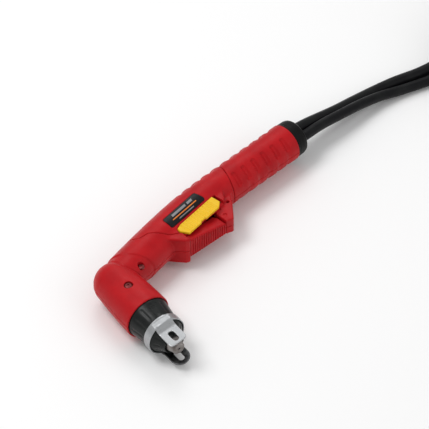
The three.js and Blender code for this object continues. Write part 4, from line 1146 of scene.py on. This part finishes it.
def spacer_field(x, y, z):
    """The band round the cup and two bent, slotted legs. The upper leg ends square, the lower one round."""
    dx, dy = x - ELBOW[0], y - ELBOW[1]
    s = dx * HEAD[0] + dy * HEAD[1] + 0 * z
    height = dx * SPACER_UP[0] + dy * SPACER_UP[1] + z * SPACER_UP[2]
    up = np.abs(height)
    across = dx * SPACER_ACROSS[0] + dy * SPACER_ACROSS[1] + z * SPACER_ACROSS[2]
    radius = np.hypot(up, across)
    wall, width = (BAND_OUT - BAND_IN) / 2, (RING_END - RING_TOP) / 2
    band = slab(np.abs(radius - BAND_IN - wall) - wall, s - RING_TOP - width, -width, width, 0.25)
    round_end = np.hypot(across, np.maximum(s - LEG_END + LEG_HALF, 0)) - LEG_HALF
    square_end = rectangle(across, np.maximum(s - LEG_ROOT, 0), LEG_HALF, SQUARE_END - LEG_ROOT, 3)
    outline = np.where(height > 0, square_end, round_end)
    start, stop, half = LEG_SLOT
    slot = np.hypot(across, s - np.clip(s, start, stop)) - half
    outline = smooth_max(outline, -slot, 0.2)
    leg = smooth_max(polygon(up, s, rounded(LEG, 1.8)), outline, 0.4)
    return smooth_min(band, leg, 0.8)


def add_head():
    add_piece("cup_fluted", *turned(dense(CUP, 1.2), ELBOW, HEAD, 144, 0.5, flutes),
              "cup", "cup", "black_plastic", ["shield_cup"])
    add_piece("nozzle_tip", *turned(NOZZLE, ELBOW, HEAD, 72, 0.35), "tip", "tip", "copper", ["nozzle"], 30)
    middle, reach = ELBOW + HEAD * (RING_TOP + LEG_END) / 2, np.array([22, 20, 20])
    add_field_piece("spacer_ring", spacer_field, middle - reach, middle + reach, 0.3,
                    "spacer", "spacer", "steel", ["spacer"], 30)


# ------------------------------------------------------------
# Screws and the rear collar

SCREW_HEAD = 2.0
RECESS_DEPTH = 1.0
RECESS_ARM, RECESS_HALF = 1.7, 0.42


def screw_field(screw):
    """A button head with a cross recess, on a plain shank."""
    radius, bottom, top = screw["radius"] - 0.1, screw["seat"] + GAP, screw["seat"] + SCREW_HEAD
    crown_r = 2.2 * radius

    def field(x, y, z):
        dx, dy, height = x - screw["at"][0], y - screw["at"][1], screw["side"] * z
        radial = np.hypot(dx, dy)
        crown = np.hypot(radial, height - top + crown_r) - crown_r
        head = smooth_max(smooth_max(radial - radius, bottom - height, 0.4), crown, 0.5)
        shank = np.maximum(radial - SHANK_R, np.maximum(screw["tip"] - height, height - bottom - 0.4))
        long_way = rectangle(dx, dy, RECESS_ARM, RECESS_HALF, 0.2)
        cross = np.minimum(long_way, rectangle(dx, dy, RECESS_HALF, RECESS_ARM, 0.2))
        return carved(np.minimum(head, shank), np.maximum(cross, top - RECESS_DEPTH - height), 0.15)

    return field


def add_screws():
    margin = 0.6
    for screw in SCREWS:
        heights = sorted(screw["side"] * h for h in (screw["tip"], screw["seat"] + SCREW_HEAD))
        reach = screw["radius"] + margin
        low, high = ([at + s * reach for at in screw["at"]] for s in (-1, 1))
        add_field_piece(f"{screw['name']}_piece", screw_field(screw), [*low, heights[0] - margin],
                        [*high, heights[1] + margin], 0.22, "screw", "handle", "steel", [screw["name"]], 50)


COLLAR_START = 207.3
COLLAR = [
    (0, COLLAR_START), (13.2, COLLAR_START), (13.2, 211.3), (15.4, 211.3), (15.2, 218.5), (14.6, 221),
    (13.2, 222.4), (11.4, COLLAR_END), (0, COLLAR_END),
]
FLARE, FLARE_LONG = 0.9, 1.8


def collar_field(x, y, z):
    """The rear collar and its plug, with two flared holes for the leads."""
    radius = np.hypot(y - HANDLE_RISE, z)
    body = smooth_max(polygon(x, radius, [(s, r) for r, s in COLLAR]), COLLAR_START + GAP - x, 0.4)
    flare = FLARE * smoothstep((x - COLLAR_END + FLARE_LONG) / FLARE_LONG)
    power = np.hypot(y - POWER_Y, z) - POWER_D / 2 - GAP - flare
    control = np.hypot(y - CONTROL_Y, z) - CONTROL_D / 2 - GAP - flare
    ring_groove = np.hypot(x - 213.2, radius - 15.75) - 0.6
    return carved(carved(body, np.minimum(power, control), 0.4), ring_groove, 0.3)


def add_collar():
    add_field_piece("rear_collar", collar_field, (207, 1.2, -16.4), (224, 34, 16.4), 0.4,
                    "black", "handle", "black_plastic", ["end_collar"], 50)


# ------------------------------------------------------------
# The leads' far ends

POWER_BOOT = [(5.3, -14), (6.8, -14), (8.2, 0), (9, 10), (9, 18), (0, 18), (0, 0.3), (5.3, 0.3)]
POWER_FITTING = [
    (0, 18.3), (8, 18.3), (8, 25), (6.4, 25.4), (6.4, 32.6), (7.6, 33), (7.6, 35.5), (5, 39.5), (2.4, 39.5),
    (2.4, 26), (0, 26),
]
CONTROL_BOOT = [(4.55, -14), (5.9, -14), (7, -4), (8.2, 6), (8.2, 16), (0, 16), (0, 0.3), (4.55, 0.3)]
CONTROL_PLUG = [
    (0, 16.3), (8.6, 16.3), (8.6, 22), (7.4, 22.3), (7.4, 36.5), (6.2, 36.5), (6.2, 34.5), (0, 34.5),
]
CONTROL_RING = [(7.8, 23), (9.4, 23), (9.8, 24), (9.8, 37), (9.4, 38), (7.8, 38)]

RIB_PITCH, RIB_DEPTH = 3.2, 0.45
KNURLS, KNURL_HALF = 36, 0.22
NUT_START, NUT_STOP, NUT_FLAT, NUT_CORNER = 27, 45.5, 9.5, 10.9
THREAD_START, THREAD_PITCH, THREAD_R, NUT_BORE = 32.4, 1.5, 8.1, 6.8
INSERT_START, INSERT_STOP, INSERT_R = 34.8, 37.6, 5.9
CONTACTS, CONTACT_CIRCLE, CONTACT_R = 5, 3.6, 0.8


def boot_ribs(s, angle, radius):
    """Ring grooves round a boot's taper."""
    if radius < 5.8 or s > 9.5:
        return 0.0
    return -RIB_DEPTH * (0.5 + 0.5 * math.cos(s * 2 * math.pi / RIB_PITCH))


def knurls(s, angle, radius):
    """Fine ridges along the outside of a hand-turned ring."""
    return KNURL_HALF * math.cos(KNURLS * angle) - KNURL_HALF if radius > 9.7 else 0.0


def end_axes(x, y, z, origin, axis):
    """Distances from a lead's end: along its level axis, sideways and upwards."""
    across = np.cross(axis, UP)
    dx, dy, dz = x - origin[0], y - origin[1], z - origin[2]
    return dx * axis[0] + dy * axis[1], dx * across[0] + dy * across[1], dz


def nut_field(origin, axis):
    """The hexagon union nut with chamfered corners and a threaded bore."""
    def field(x, y, z):
        s, side, up = end_axes(x, y, z, origin, axis)
        radius, angle = np.hypot(side, up), np.arctan2(up, side)
        sector = (angle + math.pi / 6) % (math.pi / 3) - math.pi / 6
        hexagon = radius * np.cos(sector) - NUT_FLAT
        past_face = np.maximum(NUT_START - s, s - NUT_STOP)
        chamfer = (radius - NUT_CORNER + (past_face + 1.1) * 1.6) * 0.55
        body = smooth_max(smooth_max(hexagon, chamfer, 0.3), past_face, 0.3)
        thread = THREAD_R + 0.3 * np.abs((s / THREAD_PITCH) % 1 - 0.5) * 2
        return carved(body, radius - np.where(s > THREAD_START, thread, NUT_BORE), 0.3)

    return field


def insert_field(origin, axis):
    """The plug's insulating face with its ring of contact holes."""
    def field(x, y, z):
        s, side, up = end_axes(x, y, z, origin, axis)
        body = slab(np.hypot(side, up) - INSERT_R, s, INSERT_START, INSERT_STOP, 0.3)
        for angle in np.radians(90 + 360 / CONTACTS * np.arange(CONTACTS)):
            a, b = CONTACT_CIRCLE * math.cos(angle), CONTACT_CIRCLE * math.sin(angle)
            body = carved(body, np.hypot(side - a, up - b) - CONTACT_R, 0.2)
        return body

    return field


def add_ends():
    """Boots and connectors on the leads' ends, and the ties round their coils."""
    power, along = POWER_COIL.end(), POWER_COIL.axis
    control, down = CONTROL_COIL.end(), CONTROL_COIL.axis
    add_piece("boot_power", *turned(dense(POWER_BOOT, 0.5), power, along, 64, 0.4, boot_ribs),
              "rubber", "handle", "rubber", ["power_boot"])
    add_piece("fitting_power", *turned(POWER_FITTING, power, along, 72, 0.25),
              "brass", "handle", "brass", ["power_fitting"], 30)
    add_piece("boot_control", *turned(dense(CONTROL_BOOT, 0.5), control, down, 64, 0.4, boot_ribs),
              "rubber", "handle", "rubber", ["control_boot"])
    add_piece("plug_control", *turned(CONTROL_PLUG, control, down, 72, 0.25),
              "plated", "handle", "plated", ["control_plug"], 30)
    add_piece("ring_control", *turned(dense(CONTROL_RING, 2), control, down, 288, 0.35, knurls),
              "plated", "ring", "plated", ["control_ring"], 50)
    middle = power + along * (NUT_START + NUT_STOP) / 2
    add_field_piece("nut_power", nut_field(power, along), middle - 12.5, middle + 12.5, 0.35,
                    "brass", "nut", "brass", ["power_nut"], 30)
    middle = control + down * (INSERT_START + INSERT_STOP) / 2
    add_field_piece("insert_control", insert_field(control, down), middle - 6.8, middle + 6.8, 0.25,
                    "phenolic", "handle", "brown_phenolic", ["control_insert"], 40)
    for lead, coil, angles in (("power", POWER_COIL, (150, 330)), ("control", CONTROL_COIL, (150, 290))):
        for i, angle in enumerate(angles):
            add_tie(f"{lead}_tie_{i + 1}", coil, angle)


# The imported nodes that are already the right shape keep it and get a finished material.
INNER_FINISH = {
    "catch_retainer": "steel", "trigger_pin": "steel", "trigger_spring": "steel", "micro_switch": "black",
    "switch_plunger": "white", "torch_head": "phenolic", "cathode_body": "brass", "electrode": "copper",
    "swirl_ring": "phenolic", "cup_insert": "brass", "head_o_ring": "rubber", "neck_tube": "copper",
    "lead_nut": "brass", "hose_ferrule": "brass", "cable_clamp": "black", "switch_wire_a": "rubber",
    "switch_wire_b": "rubber",
}


def finish_inner_parts():
    for name, finish in INNER_FINISH.items():
        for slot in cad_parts[name].material_slots:
            slot.material = MATERIALS[finish]


add_ends()
add_leads()
add_shells()
add_trigger_group()
add_label()
add_head()
add_screws()
add_collar()
finish_inner_parts()
